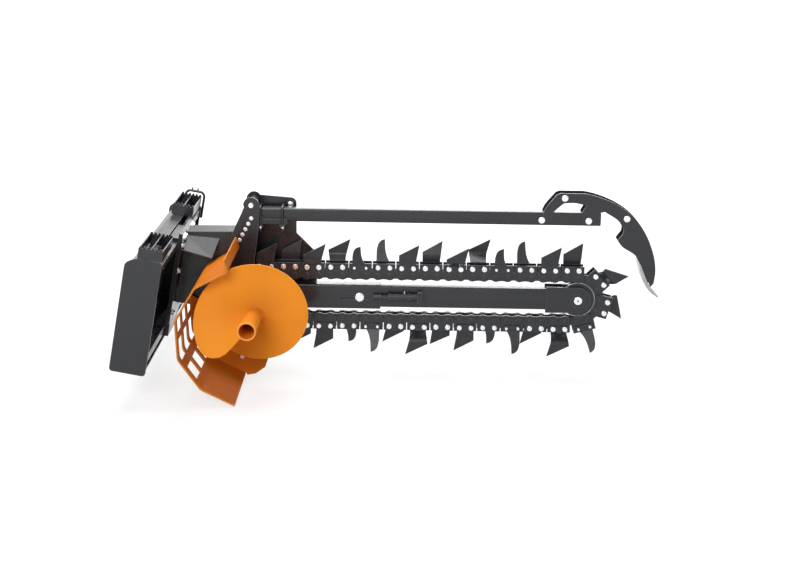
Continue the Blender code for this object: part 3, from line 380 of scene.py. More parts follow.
def put_mesh(name, mesh, body, finish, rounding, place, nodes=(), sharp=32.0):
    """Place a mesh as a finished piece; like pieces share one mesh."""
    if not mesh.materials:
        mesh.materials.append(FINISH[finish])
        # second slot: the lighter edge material for the bevel faces, partly thinner coat and partly painted
        # highlight
        mesh.materials.append(FINISH.get(finish + "_edge", FINISH[finish]))
        mesh.shade_smooth()
        mesh.set_sharp_from_angle(angle=math.radians(sharp))
    piece = bpy.data.objects.new(name, mesh)
    bpy.context.scene.collection.objects.link(piece)
    piece.matrix_world = place
    if rounding > 0:
        bevel = piece.modifiers.new("rounded_edges", "BEVEL")
        bevel.width = rounding
        bevel.segments = 2
        bevel.limit_method = "ANGLE"
        bevel.angle_limit = math.radians(sharp)
        bevel.use_clamp_overlap = False
        bevel.harden_normals = True
        # bevel faces take the lighter edge material: partly painted highlight
        bevel.material = 1
    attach(piece, body)
    if nodes:
        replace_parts(piece, *nodes)
    return piece


def body_of(node):
    return frame["nodes"][node]["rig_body"]


def node_mesh(node):
    """The node's solid with its seams welded and its flat faces whole."""
    bm = bmesh.new()
    bm.from_mesh(frame["nodes"][node].data)
    bmesh.ops.remove_doubles(bm, verts=bm.verts, dist=1e-6)
    bmesh.ops.dissolve_limit(bm, angle_limit=math.radians(0.6), verts=bm.verts, edges=bm.edges)
    return bm


def formed(node, rounding, least=0.0):
    """A node's own solid as a coated piece; edges along X past a least length get a tube's round corners."""
    bm = node_mesh(node)
    if least:
        long_edges = []
        for edge in bm.edges:
            run = edge.verts[1].co - edge.verts[0].co
            bend = edge.calc_face_angle(0.0)
            if abs(run.x) > least and run.length < abs(run.x) * 1.02 and bend > math.radians(10):
                long_edges.append(edge)
        bmesh.ops.bevel(bm, geom=long_edges, offset=edges().tube_corner, segments=5, profile=0.5,
                        affect="EDGES", clamp_overlap=False)
    return put(f"{node}_made", bm, body_of(node), COAT, [node], rounding)


def side_loops(node):
    """Outline and holes, as (x, z) points, of a plate that stands across Y."""
    bm = node_mesh(node)
    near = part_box(node)[0].y
    flat = {face for face in bm.faces if all(abs(vert.co.y - near) < 1e-5 for vert in face.verts)}
    rim = [edge for edge in bm.edges if sum(face in flat for face in edge.link_faces) == 1]
    beside = {}
    for edge in rim:
        for vert in edge.verts:
            beside.setdefault(vert, []).append(edge.other_vert(vert))
    loops = []
    while beside:
        start = next(iter(beside))
        loop = [start]
        here = beside.pop(start)[0]
        while here is not start:
            after = beside.pop(here)
            loop.append(here)
            here = after[0] if after[1] is loop[-2] else after[1]
        loops.append([Vector((vert.co.x, vert.co.z)) for vert in loop])
    bm.free()
    loops.sort(key=lambda points: max(p.x for p in points) - min(p.x for p in points), reverse=True)
    return loops


def middle_of(node):
    """The middle of a node's box."""
    return Vector([(low + high) / 2 for low, high in zip(*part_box(node))])


def ring(centre, radius):
    """Outline of a round hole or disc."""
    angles = [2 * math.pi * i / HOLE_STEPS for i in range(HOLE_STEPS)]
    return [Vector((centre[0] + radius * math.cos(a), centre[1] + radius * math.sin(a))) for a in angles]


def turn_between(a, b):
    return math.atan2(a.x * b.y - a.y * b.x, a.dot(b))


def centre_of(loop):
    return sum(loop, Vector((0, 0))) / len(loop)


def smoothed(loop, corner, fine=4.0):
    """The same closed outline, its turns under a corner's degrees made round in fine steps."""
    middle = centre_of(loop)
    reach = [(point - middle).length for point in loop]
    nearly_round = 1.03
    if len(loop) >= 6 and max(reach) < nearly_round * min(reach):
        return ring(middle, sum(reach) / len(reach))
    count = len(loop)
    runs = [loop[(i + 1) % count] - loop[i] for i in range(count)]
    much = 3                # a run this many times its neighbour is straight, and keeps its slope
    slopes = []
    for i in range(count):
        before = runs[i - 1]
        after = runs[i]
        if abs(turn_between(before, after)) > math.radians(corner):
            slopes.append((before.normalized(), after.normalized()))
            continue
        if before.length > much * after.length:
            mean = before.normalized()
        elif after.length > much * before.length:
            mean = after.normalized()
        else:
            mean = (before.normalized() / before.length + after.normalized() / after.length).normalized()
        slopes.append((mean, mean))
    points = []
    for i, run in enumerate(runs):
        leave = slopes[i][1]
        arrive = slopes[(i + 1) % count][0]
        bend = abs(turn_between(leave, run)) + abs(turn_between(run, arrive))
        steps = max(1, math.ceil(bend / math.radians(fine)))
        for k in range(steps):
            t = k / steps
            start, end = loop[i], loop[(i + 1) % count]
            points.append(start * (2 * t ** 3 - 3 * t ** 2 + 1)
                          + leave * run.length * (t ** 3 - 2 * t ** 2 + t)
                          + end * (3 * t ** 2 - 2 * t ** 3) + arrive * run.length * (t ** 3 - t ** 2))
    left, right = min(p.x for p in loop), max(p.x for p in loop)
    foot, top = min(p.y for p in loop), max(p.y for p in loop)
    return [Vector((min(max(p.x, left), right), min(max(p.y, foot), top))) for p in points]


def plate(outline, near, far, holes=()):
    """A flat plate from an (x, z) outline and holes, between two Y values."""
    bm = bmesh.new()
    rim = []
    for loop in (outline, *holes):
        verts = [bm.verts.new((x, near, z)) for x, z in loop]
        rim += [bm.edges.new((verts[i - 1], verts[i])) for i in range(len(verts))]
    bmesh.ops.triangle_fill(bm, use_beauty=True, use_dissolve=False, edges=rim)
    grown = bmesh.ops.extrude_face_region(bm, geom=bm.faces[:])
    moved = [item for item in grown["geom"] if isinstance(item, bmesh.types.BMVert)]
    bmesh.ops.translate(bm, vec=(0, far - near, 0), verts=moved)
    bmesh.ops.dissolve_limit(bm, angle_limit=math.radians(0.3), verts=bm.verts, edges=bm.edges)
    return bm


def cut_plate(node, finish, rounding, corner=38.0):
    """A cut plate that stands across Y, with its arcs and holes made round."""
    low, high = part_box(node)
    outline, *holes = [smoothed(loop, corner) for loop in side_loops(node)]
    return put(f"{node}_made", plate(outline, low.y, high.y, holes), body_of(node), finish, [node], rounding)


def lathe(bm, profile, place, sides):
    """Turn (along, radius) points about local Z into a bmesh; a radius of 0 closes an end."""
    angles = [2 * math.pi * i / sides for i in range(sides)]
    rings = []
    for along, radius in profile:
        around = angles if radius else angles[:1]
        rings.append([bm.verts.new(place @ Vector((radius * math.cos(a), radius * math.sin(a), along)))
                      for a in around])
    pairs = list(zip(rings, rings[1:]))
    if profile[0][1] > 0:
        pairs.append((rings[-1], rings[0]))
    for first, second in pairs:
        for i in range(sides):
            j = (i + 1) % sides
            corners = [first[i % len(first)], first[j % len(first)],
                       second[j % len(second)], second[i % len(second)]]
            corners = list(dict.fromkeys(corners))
            if len(corners) > 2:
                bm.faces.new(corners)
    return bm


def facing(point, direction):
    """A frame at a point whose Z looks along a direction."""
    return Matrix.Translation(point) @ Vector(direction).to_track_quat("Z", "Y").to_matrix().to_4x4()


def straight(start, end, outer, inner=0.0):
    """Profile of a plain round bar, or of a sleeve where an inner radius is given."""
    return [(start, inner), (start, outer), (end, outer), (end, inner)]


def turned(name, profile, at, direction, body, finish, nodes=(), sides=48):
    """A piece turned about a line from a point."""
    bm = lathe(bmesh.new(), profile, facing(at, direction), sides)
    return put(name, bm, body, finish, nodes, edges().turned)


def tube(bm, points, radius, sides, ripple=0.0, ripple_step=0.004):
    """A round bar along points; ripple swells it like a weld bead."""
    points = [Vector(point) for point in points]
    normal = None
    rings = []
    walked = 0.0
    for i, point in enumerate(points):
        before = points[max(i - 1, 0)]
        after = points[min(i + 1, len(points) - 1)]
        tangent = (after - before).normalized()
        if normal is None:
            normal = tangent.orthogonal().normalized()
        normal = (normal - tangent * normal.dot(tangent)).normalized()
        side = tangent.cross(normal)
        walked += (point - before).length
        size = radius * (1 + ripple * abs(math.sin(math.pi * walked / ripple_step)))
        rings.append([bm.verts.new(point + size * (math.cos(2 * math.pi * k / sides) * normal
                                                   + math.sin(2 * math.pi * k / sides) * side))
                      for k in range(sides)])
    for first, second in zip(rings, rings[1:]):
        for k in range(sides):
            bm.faces.new((first[k - 1], first[k], second[k], second[k - 1]))
    bm.faces.new(rings[0])
    bm.faces.new(list(reversed(rings[-1])))
    return bm


def bead(bm, start, end):
    """A straight weld bead."""
    step = 0.0014
    steps = max(4, round((end - start).length / step))
    points = [start.lerp(end, i / steps) for i in range(steps + 1)]
    tube(bm, points, edges().weld, BEAD_SIDES, BEAD_RIPPLE)


def hexagon(bm, place, across, height, washer=0.0, stub=0.0, stub_radius=0.0):
    """A chamfered hexagon on a washer, standing on local Z = 0, with a threaded stub past it."""
    foot = 0.0
    if washer:
        foot = 0.09 * across + 0.0010
        rim = 0.0004
        lathe(bm, [(0, 0), (0, washer), (foot - rim, washer), (foot, washer - rim), (foot, 0)], place, 28)
    sides = 24
    flat = across / 2
    crown = 0.94 * flat
    chamfer = 0.55          # the corners' drop as a share of their reach past the crown
    rings = [[], [], []]
    for i in range(sides):
        angle = 2 * math.pi * i / sides
        corner = flat / math.cos((angle + math.pi / 6) % (math.pi / 3) - math.pi / 6)
        drop = (corner - crown) * chamfer
        for row, radius, along in ((0, corner, foot), (1, corner, foot + height - drop),
                                   (2, crown, foot + height)):
            spot = Vector((radius * math.cos(angle), radius * math.sin(angle), along))
            rings[row].append(bm.verts.new(place @ spot))
    for first, second in zip(rings, rings[1:]):
        for i in range(sides):
            bm.faces.new((first[i - 1], first[i], second[i], second[i - 1]))
    bm.faces.new(rings[0])
    bm.faces.new(list(reversed(rings[2])))
    if stub:
        top = foot + height
        thread_pitch = 0.0020
        profile = [(top - 0.001, 0), (top - 0.001, stub_radius)]
        threads = max(2, round(stub / thread_pitch))
        for k in range(threads):
            along = top + stub * k / threads
            profile += [(along, stub_radius), (along + 0.5 * stub / threads, stub_radius * 0.90)]
        profile += [(top + stub, stub_radius * 0.80), (top + stub, 0)]
        lathe(bm, profile, place, 20)


def fasteners(name, spots, direction, body, across, height, washer=0.0, stub=0.0, stub_radius=0.0):
    """A set of like bolt heads or nuts."""
    bm = bmesh.new()
    for spot in spots:
        hexagon(bm, facing(spot, direction), across, height, washer, stub, stub_radius)
    return put(name, bm, body, ZINC, sharp=FASTENER_SHARP)


def boxed(bm, low, high):
    size = Vector(high) - Vector(low)
    middle = (Vector(high) + Vector(low)) / 2
    bmesh.ops.create_cube(bm, size=1.0, matrix=Matrix.Translation(middle) @ Matrix.Diagonal((*size, 1.0)))


def at_head(x, y, z):
    """A point given from the head shaft's axis."""
    return Vector((HEAD.x + x, y, HEAD.z + z))


def at_hitch(x, y, z):
    """A point given in the leaning hitch frame."""
    return HITCH @ Vector((x, y, z))


def bolt_circle(radius, y, shift=0.0):
    """Six points round the head shaft; shift turns them by a share of their spacing."""
    angles = [2 * math.pi * (k + shift) / 6 for k in range(6)]
    return [at_head(radius * math.cos(a), y, radius * math.sin(a)) for a in angles]


def arc(x, z, radius, start, end, steps):
    """Points of an arc about a centre, between two angles in degrees."""
    return [(x + radius * math.cos(math.radians(start + (end - start) * i / steps)),
             z + radius * math.sin(math.radians(start + (end - start) * i / steps)))
            for i in range(steps + 1)]


# Hitch --------------------------------------------------------------------------------------------------

CHEEK_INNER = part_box("coupler_plate")[1].y
RIBS = ("rib_near_outer", "rib_near_inner", "rib_far_outer", "rib_far_inner")
STEP_LOW = 0.2393
STEP_HIGH = 0.2913
STEP_DEPTH = 0.0965
STEP_TOOTH = 0.009


def upright_bead(bm, x, y, low, high):
    bead(bm, at_hitch(x, y, low), at_hitch(x, y, high))


def cross_bead(bm, x, half, z):
    bead(bm, at_hitch(x, -half, z), at_hitch(x, half, z))


def hitch_frame():
    """Cheeks, coupler plate, flange, rails and ribs with their weld beads."""
    for node in ("cheek_near", "cheek_far"):
        cut_plate(node, COAT, edges().plate)
    for node in ("coupler_plate", "lock_flange", "rail_upper", "rail_lower", "top_plate", *RIBS):
        formed(node, edges().plate)
    bm = bmesh.new()
    plate_face = 0.0092
    for side in (-1, 1):
        for x, low, high in ((0.0095, -0.212, 0.226), (0.069, 0.190, 0.221), (0.069, -0.185, -0.145)):
            upright_bead(bm, x, side * CHEEK_INNER, low, high)
        for rib in RIBS:
            upright_bead(bm, plate_face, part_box(rib)[1 if side > 0 else 0].y, -0.205, 0.225)
    for z in (0.2295, -0.2140):
        cross_bead(bm, plate_face, CHEEK_INNER, z)
    put("hitch_welds", bm, "hitch", COAT)
    bm = bmesh.new()
    seam = [(0.030, -0.1438), (0.0744, -0.1393), (0.0840, -0.1460), (0.0970, -0.1473)]
    sunk = 0.0004
    for side, word in SIDES:
        face = side * (abs(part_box(f"cheek_{word}")[0 if side < 0 else 1].y) - sunk)
        tube(bm, [at_hitch(x, face, z) for x, z in seam], 0.0014, 10)
    put("cheek_seams", bm, "hitch", COAT)


def serrated(length, low, high, teeth):
    """Outline of a strip whose top edge is cut into saw teeth."""
    root = high - STEP_TOOTH
    outline = [(0, low), (0, root)]
    for k in range(teeth):
        start = length * k / teeth
        outline += [(start + share * length / teeth, z)
                    for share, z in ((0.08, root), (0.30, high), (0.72, high), (0.94, root))]
    return outline + [(length, root), (length, low)]


def tread(name, node):
    """Open step: three strips along it between two saw-toothed end walls."""
    low_y, high_y = (corner.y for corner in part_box(node))
    wall = 0.005
    walls = [plate(serrated(STEP_DEPTH, STEP_LOW, STEP_HIGH, 6), y, y + wall) for y in (low_y, high_y - wall)]
    strips = bmesh.new()
    for x in (0.0, (STEP_DEPTH - wall) / 2, STEP_DEPTH - wall):
        boxed(strips, (x, low_y + wall, STEP_LOW), (x + wall, high_y - wall, STEP_HIGH - STEP_TOOTH))
    bm = joined(*walls, strips)
    bmesh.ops.transform(bm, matrix=HITCH, verts=bm.verts)
    put(name, bm, "hitch", COAT, [node], edges().sheet)


def guide():
    """Bent rod over the far cheek with two short prongs that keep the hoses apart."""
    y = middle_of("cheek_far").y
    back = 0.020
    front = 0.1063
    top = 0.300
    bend = 0.022
    path = [(back, STEP_LOW), (back, top - 0.026)] + arc(back + bend, top - bend, bend, 180, 90, 10)
    path += arc(front - bend, top - bend, bend, 90, 0, 10) + [(front, 0.240), (front, 0.180)]
    bm = tube(bmesh.new(), [at_hitch(x, y, z) for x, z in path], 0.006, 16)
    for foot in (0.047, 0.072):
        prong = [(foot, top - 0.002), (foot, top + 0.010), (foot + 0.002, top + 0.016)]
        tube(bm, [at_hitch(x, y, z) for x, z in prong], 0.0035, 10)
    put("hose_guide_made", bm, "hitch", COAT, ["hose_guide"], edges().turned)


# Carriage and mast --------------------------------------------------------------------------------------

def carriage():
    """Plate and clamps that slide along the rails, with two columns of bolts on each side."""
    for node in ("carriage_plate", "clamp_upper", "clamp_lower"):
        formed(node, edges().plate)
    front = 0.1165
    spots = [at_hitch(front, y, z) for z in (0.245, 0.212, 0.100, -0.100) for y in (-0.128, 0.128)]
    spots += [at_hitch(front, y, z) for z in (0.245, 0.212, -0.100) for y in (-0.088, 0.088)]
    fasteners("carriage_bolts", spots, at_hitch(1, 0, 0), "carriage", 0.019, 0.009, 0.0155)


def pedestal():
    """Sloped box between the carriage and the mast, with its gussets, welds and webs."""
    formed("pedestal", 0.003)
    for node in ("gusset_near", "gusset_far", "mast_spacer", "sleeve_bracket"):
        formed(node, edges().plate)
    bm = bmesh.new()
    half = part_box("pedestal")[1].y
    face = 0.1175
    for side in (-1, 1):
        upright_bead(bm, face, side * half, -0.055, 0.255)
    cross_bead(bm, face, half, 0.2585)
    put("pedestal_welds", bm, "carriage", COAT)
    outline = web_outline()
    web_thickness = 0.005
    for side, word in SIDES:
        web = plate(outline, side * half, side * (half - web_thickness))
        put(f"pedestal_web_{word}", web, "carriage", COAT, (), edges().sheet)


def web_outline():
    """The pedestal's hollow lower edge, closed by a corner just inside the mast plates."""
    heel, top = 0.19, 0.20      # the hollow edge lies in front of the heel and under the top
    lower = [point for point in side_loops("pedestal")[0] if point.x > heel and point.y < top]
    outline = sorted(lower, key=lambda point: point.x)
    overlap, rise = 0.015, 0.007
    outline.append(Vector((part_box("mast_plate_near")[0].x + overlap, outline[0].y + rise)))
    return outline


def mast():
    """Its two plates, the crumber's pivot, the lock bolt and the bolts in the row of holes."""
    for node in ("mast_plate_near", "mast_plate_far"):
        cut_plate(node, COAT, edges().plate)
    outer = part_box("mast_plate_far")[1].y
    head = [(0, 0), (0, 0.0122), (0.0018, 0.0122), (0.0018, 0.0110), (0.0110, 0.0110), (0.0136, 0.0092),
            (0.0136, 0.0030), (0.0120, 0.0026), (0.0120, 0)]
    for side, word in SIDES:
        spot = Vector((PIVOT.x, side * (outer + 0.0004), PIVOT.z))
        nodes = ["pivot_pin"] if side < 0 else []
        turned(f"pivot_pin_head_{word}", head, spot, (0, side, 0), "carriage", ZINC, nodes)
        spacer = f"pivot_spacer_{word}"
        start, end = sorted(abs(corner.y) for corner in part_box(spacer))
        turned(f"{spacer}_made", straight(start, end, 0.0175, 0.0106), PIVOT, (0, side, 0), "carriage", COAT,
               [spacer])
    turned("pivot_pin_body", straight(-outer, outer, 0.0099), PIVOT, (0, 1, 0), "carriage", ZINC)
    x, _, z = middle_of("lock_bolt")
    bm = bmesh.new()
    hexagon(bm, facing((x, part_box("mast_plate_far")[0].y - 0.0003, z), (0, -1, 0)), 0.0200, 0.0085, 0.0118)
    hexagon(bm, facing((x, outer + 0.0003, z), (0, 1, 0)), 0.0180, 0.0080, 0.0118, 0.002, 0.0055)
    put("lock_bolt_made", bm, "carriage", ZINC, ["lock_bolt"], sharp=FASTENER_SHARP)
    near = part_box("mast_plate_near")[0].y
    holes = [centre_of(loop) for loop in side_loops("mast_plate_near")[1:]]
    column = 0.25           # how far below the pivot the column of holes reaches
    spots = [Vector((hole.x, near, hole.y)) for hole in holes if hole.y > PIVOT.z - column]
    fasteners("mast_bolts", spots, (0, -1, 0), "carriage", 0.0130, 0.0060, 0.0088)


def drive():
    """Shaft bearing on the near side, hydraulic motor on the far side."""
    near = [(0.0300, 0.0196), (0.0300, 0.0548), (0.0724, 0.0548), (0.0724, 0.0680), (0.0820, 0.0680),
            (0.0820, 0.0560), (0.0850, 0.0535), (0.0960, 0.0490), (0.1000, 0.0450), (0.1000, 0.0300),
            (0.0985, 0.0290), (0.0985, 0.0196)]
    turned("bearing_housing_made", near, HEAD, (0, -1, 0), "carriage", COAT, ["bearing_housing"], 64)
    far = [(0.0300, 0.0196), (0.0300, 0.0548), (0.0724, 0.0548), (0.0724, 0.0680), (0.0885, 0.0680),
           (0.0885, 0.0715), (0.1150, 0.0715), (0.1150, 0.0640), (0.1180, 0.0640), (0.1180, 0.0700),
           (0.2050, 0.0700), (0.2050, 0.0715), (0.2270, 0.0715), (0.2270, 0.0660), (0.2300, 0.0660),
           (0.2300, 0.0700), (0.2480, 0.0700), (0.2570, 0.0610), (0.2580, 0.0500), (0.2550, 0.0480),
           (0.2550, 0), (0.1500, 0), (0.1500, 0.0196)]
    turned("drive_motor_made", far, HEAD, (0, 1, 0), "carriage", COAT, ["drive_motor"], 64)
    fasteners("motor_cap_bolts", bolt_circle(0.0385, 0.2550), (0, 1, 0), "carriage", 0.0105, 0.0030)
    fasteners("bearing_bolts", bolt_circle(0.0612, -0.0820, 0.5), (0, -1, 0), "carriage", 0.0110, 0.0065)
    for node in ("motor_port_1", "motor_port_2"):
        foot = middle_of(node)
        foot.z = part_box(node)[0].z
        bm = bmesh.new()
        hexagon(bm, facing(foot, (0, 0, 1)), 0.0245, 0.0110)
        lathe(bm, [(0.010, 0), (0.010, 0.0090), (0.0150, 0.0090), (0.0150, 0.0102), (0.0240, 0.0102),
                   (0.0255, 0.0088), (0.0255, 0)], facing(foot, (0, 0, 1)), 28)
        put(f"{node}_made", bm, "carriage", ZINC, [node], sharp=FASTENER_SHARP)


def guard_profile():
    """The sheet's inner face from its front lip to its upstand, as (x, z) points."""
    loop = side_loops("spoil_guard")[0]
    count = len(loop)
    lengths = [(loop[(i + 1) % count] - loop[i]).length for i in range(count)]
    first, second = sorted(sorted(range(count), key=lengths.__getitem__)[:2])
    faces = (loop[first + 1:second + 1], loop[second + 1:] + loop[:first + 1])
    centre = Vector((HEAD.x, HEAD.z))
    inner = min(faces, key=lambda run: sum((point - centre).length for point in run))
    return inner if inner[0].y < inner[-1].y else inner[::-1]


def guard_stations(profile, fold):
    """(point, in a window row) pairs along the sheet, with its folds eased and the rows' edges marked."""
    hair = 1e-9             # keeps rounding from moving a station across an edge
    corners = [0.0]
    for start, end in zip(profile, profile[1:]):
        corners.append(corners[-1] + (end - start).length)
    rows = [(corners[corner] + start, corners[corner] + end) for corner, start, end in GUARD_WINDOW_ROWS]
    places = {corners[0], corners[-1], *(edge for row in rows for edge in row)}
    places |= {corner + fold * step for corner in corners[1:-1] for step in FOLD_STEPS}
    stations = []
    for place in sorted(places):
        facet = max(i for i in range(len(profile) - 1) if corners[i] <= place + hair)
        nearest = min(range(1, len(profile) - 1), key=lambda i: abs(corners[i] - place))
        along = (profile[facet + 1] - profile[facet]).normalized()
        point = profile[facet] + along * (place - corners[facet])
        if abs(corners[nearest] - place) < fold:
            t = (place - corners[nearest] + fold) / (2 * fold)
            before = (profile[nearest] - profile[nearest - 1]).normalized()
            after = (profile[nearest + 1] - profile[nearest]).normalized()
            point = profile[nearest] - before * fold * (1 - t) ** 2 + after * fold * t ** 2
        stations.append((point, any(start - hair <= place < end - hair for start, end in rows)))
    return stations


def outward(points, centre, thickness):
    """The same line of points, moved away from a centre by a sheet's thickness."""
    moved = []
    for i, point in enumerate(points):
        before = point - points[i - 1] if i else points[1] - point
        after = points[i + 1] - point if i + 1 < len(points) else before
        run = (before.normalized() + after.normalized()).normalized()
        normal = Vector((run.y, -run.x))
        if normal.dot(point - centre) < 0:
            normal = -normal
        sharpest = 0.7
        moved.append(point + normal * (thickness / max(sharpest, run.dot(after.normalized()))))
    return moved


def guard_sheet():
    """The folded sheet as a bmesh, open where a window's row and column meet."""
    low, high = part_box("spoil_guard")
    stations = guard_stations(guard_profile(), edges().fold)
    across = [low.y]
    for column in range(GUARD_WINDOW_COLUMNS):
        start = low.y + GUARD_WINDOW_MARGIN + GUARD_WINDOW_PITCH * column
        across += [start, start + GUARD_WINDOW_LENGTH]
    across.append(high.y)
    inner = [point for point, _ in stations]
    bm = bmesh.new()
    sheet = ([], [])
    for spots in zip(inner, outward(inner, Vector((HEAD.x, HEAD.z)), GUARD_THICKNESS)):
        for face, spot in zip(sheet, spots):
            face.append([bm.verts.new((spot.x, y, spot.y)) for y in across])
    closed = {(i, j) for i in range(len(stations) - 1) for j in range(len(across) - 1)
              if not (stations[i][1] and j % 2)}
    for i, j in closed:
        for face in sheet:
            bm.faces.new((face[i][j], face[i + 1][j], face[i + 1][j + 1], face[i][j + 1]))
        for beside, a, b in (((i - 1, j), (i, j), (i, j + 1)), ((i + 1, j), (i + 1, j), (i + 1, j + 1)),
                             ((i, j - 1), (i, j), (i + 1, j)), ((i, j + 1), (i, j + 1), (i + 1, j + 1))):
            if beside not in closed:
                bm.faces.new((sheet[0][a[0]][a[1]], sheet[0][b[0]][b[1]],
                              sheet[1][b[0]][b[1]], sheet[1][a[0]][a[1]]))
    return bm


def guard():
    """Folded sheet with its windows, and the half-moon end plate with its bolts."""
    for piece in (put("spoil_guard_made", guard_sheet(), "carriage", ORANGE, ["spoil_guard"], edges().sheet),
                  cut_plate("guard_end_plate", ORANGE, edges().sheet, 15.0)):
        # the sheet and the end plate take the darkened orange: painted shade for their shadowed inside
        piece.data.materials[0] = FINISH[GUARD_SHADE_COAT]
    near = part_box("guard_end_plate")[0].y
    reach = 0.275
    spots = [at_head(reach * math.cos(math.radians(a)), near, reach * math.sin(math.radians(a)))
             for a in (-106.0, -134.0, -160.0)]
    fasteners("end_plate_bolts", spots, (0, -1, 0), "carriage", 0.0130, 0.0060, 0.0085)


# Digging head -------------------------------------------------------------------------------------------

def flight_radius(turn, total, full, start):
    """Full radius, rounded off at the two ends of the flight."""
    eased = math.radians(28)
    share = min(turn, total - turn) / eased
    if share >= 1:
        return full
    return start + (full - start) * math.sqrt(max(0.0, 1 - (1 - share) ** 2))


def auger():
    """Tube on the head shaft, its spiral flight and the weld beads along the flight's root."""
    values = bpy.context.scene.trencher_auger
    low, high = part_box("auger_tube")
    tube_r = (high.x - low.x) / 2
    bore = tube_r - 0.0065
    shaft_r, shaft_end = 0.0195, 0.1605
    rim = 0.0012
    profile = [(-low.y, bore + rim), (-low.y, tube_r - rim), (-low.y - rim, tube_r), (-high.y, tube_r),
               (-high.y, shaft_r), (shaft_end, shaft_r), (shaft_end, bore), (-low.y - rim, bore)]
    turned("auger_tube_made", profile, HEAD, (0, -1, 0), "head_shaft", ORANGE, ["auger_tube"], 72)
    near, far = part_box("auger_flight")
    travel = far.y - near.y - values.thickness
    total = travel / values.pitch * 2 * math.pi
    steps = math.ceil(total * values.turn_steps / (2 * math.pi))
    start_angle = math.radians(235)
    inner = tube_r - 0.0005
    tip = tube_r + 0.030    # the flight's radius at its two ends
    bead_r = tube_r + 0.001
    bead_gap = 0.0012
    rows = 5
    bm = bmesh.new()
    stations = []
    roots = ([], [])
    for i in range(steps + 1):
        turn = total * i / steps
        angle = start_angle - turn
        y = near.y + travel * i / steps
        outer = flight_radius(turn, total, values.flight, tip)
        radii = [inner + (outer - inner) * k / rows for k in range(rows + 1)]
        front = [(radius, 0.0) for radius in radii]
        back = [(radius, values.thickness) for radius in reversed(radii)]
        stations.append([bm.verts.new(at_head(radius * math.cos(angle), y + offset, radius * math.sin(angle)))
                         for radius, offset in front + back])
        for root, offset in zip(roots, (-bead_gap, values.thickness + bead_gap)):
            root.append(at_head(bead_r * math.cos(angle), y + offset, bead_r * math.sin(angle)))
    for first, second in zip(stations, stations[1:]):
        for k in range(len(first)):
            bm.faces.new((first[k - 1], first[k], second[k], second[k - 1]))
    bm.faces.new(stations[0])
    bm.faces.new(list(reversed(stations[-1])))
    put("auger_flight_made", bm, "head_shaft", ORANGE, ["auger_flight"], edges().sheet)
    bm = bmesh.new()
    for root in roots:
        fine = []
        for a, b in zip(root, root[1:]):
            fine += [a, a.lerp(b, 0.5)]
        tube(bm, fine, edges().weld, BEAD_SIDES, BEAD_RIPPLE, 0.005)
    put("auger_welds", bm, "head_shaft", ORANGE)


def wheel_outline():
    """Twelve teeth with round hollows under the pins."""
    values = chain()
    points = []
    tip = values.tip_circle
    open_angle = math.acos((PIN_CIRCLE ** 2 + tip ** 2 - values.seat ** 2) / (2 * PIN_CIRCLE * tip))
    for k in range(WHEEL_TEETH):
        middle = 2 * math.pi * k / WHEEL_TEETH
        start = Vector((tip * math.cos(middle - open_angle), tip * math.sin(middle - open_angle)))
        centre = Vector((PIN_CIRCLE * math.cos(middle), PIN_CIRCLE * math.sin(middle)))
        first = math.atan2(start.y - centre.y, start.x - centre.x)
        half = turn_between(start - centre, -centre)
        points += [centre + values.seat * Vector((math.cos(first + 2 * half * i / 10),
                                                  math.sin(first + 2 * half * i / 10))) for i in range(11)]
    return points


def toothed_wheel(axis, body, node, rims):
    """A toothed disc with its hub and any rims that the side bars run on."""
    outline = [(axis.x + p.x, axis.z + p.y) for p in wheel_outline()]
    bore = ring((axis.x, axis.z), rims[0][3])
    bm = plate(outline, -WHEEL_HALF, WHEEL_HALF, [bore])
    for near, far, outer, inner in rims:
        lathe(bm, [(near, inner), (near, outer - 0.001), (near + 0.001, outer), (far - 0.001, outer),
                   (far, outer - 0.001), (far, inner)], facing(axis, (0, 1, 0)), 72)
    put(f"{node}_made", bm, body, CHAIN_STEEL, [node], edges().turned)


def head_shaft():
    """Shaft through the mast and the sprocket that pulls the chain."""
    low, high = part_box("head_shaft")
    radius = (high.x - low.x) / 2
    profile = [(low.y, 0), (low.y, radius - 0.001), (low.y + 0.001, radius), (high.y - 0.001, radius),
               (high.y, radius - 0.001), (high.y, 0)]
    turned("head_shaft_made", profile, HEAD, (0, 1, 0), "head_shaft", ZINC, ["head_shaft"])
    toothed_wheel(HEAD, "head_shaft", "head_sprocket", [(-0.0220, 0.0220, 0.0450, 0.0194)])
    fasteners("sprocket_bolts", bolt_circle(0.060, -WHEEL_HALF), (0, -1, 0), "head_shaft", 0.0130, 0.0070)


# Chain --------------------------------------------------------------------------------------------------

def chain_pin(index):
    """Centre of a pin as (x, z) from the head shaft, counted along the upper run."""
    index %= LOOP_PINS
    wrap = WHEEL_TEETH // 2
    if index <= SPAN_PITCHES:
        return Vector((index * PITCH, PIN_CIRCLE))
    if index < SPAN_PITCHES + wrap:
        angle = math.pi / 2 - (index - SPAN_PITCHES) * 2 * math.pi / WHEEL_TEETH
        return Vector((SPAN_PITCHES * PITCH + PIN_CIRCLE * math.cos(angle), PIN_CIRCLE * math.sin(angle)))
    if index <= 2 * SPAN_PITCHES + wrap:
        return Vector(((2 * SPAN_PITCHES + wrap - index) * PITCH, -PIN_CIRCLE))
    angle = -math.pi / 2 - (index - 2 * SPAN_PITCHES - wrap) * 2 * math.pi / WHEEL_TEETH
    return Vector((PIN_CIRCLE * math.cos(angle), PIN_CIRCLE * math.sin(angle)))


def link_place(index):
    """Frame of a link: X from its first pin to its second, Z outwards."""
    start = chain_pin(index)
    run = chain_pin(index + 1) - start
    turn = Matrix.Rotation(math.atan2(-run.y, run.x), 4, "Y")
    return Matrix.Translation(at_head(start.x, 0, start.y)) @ turn


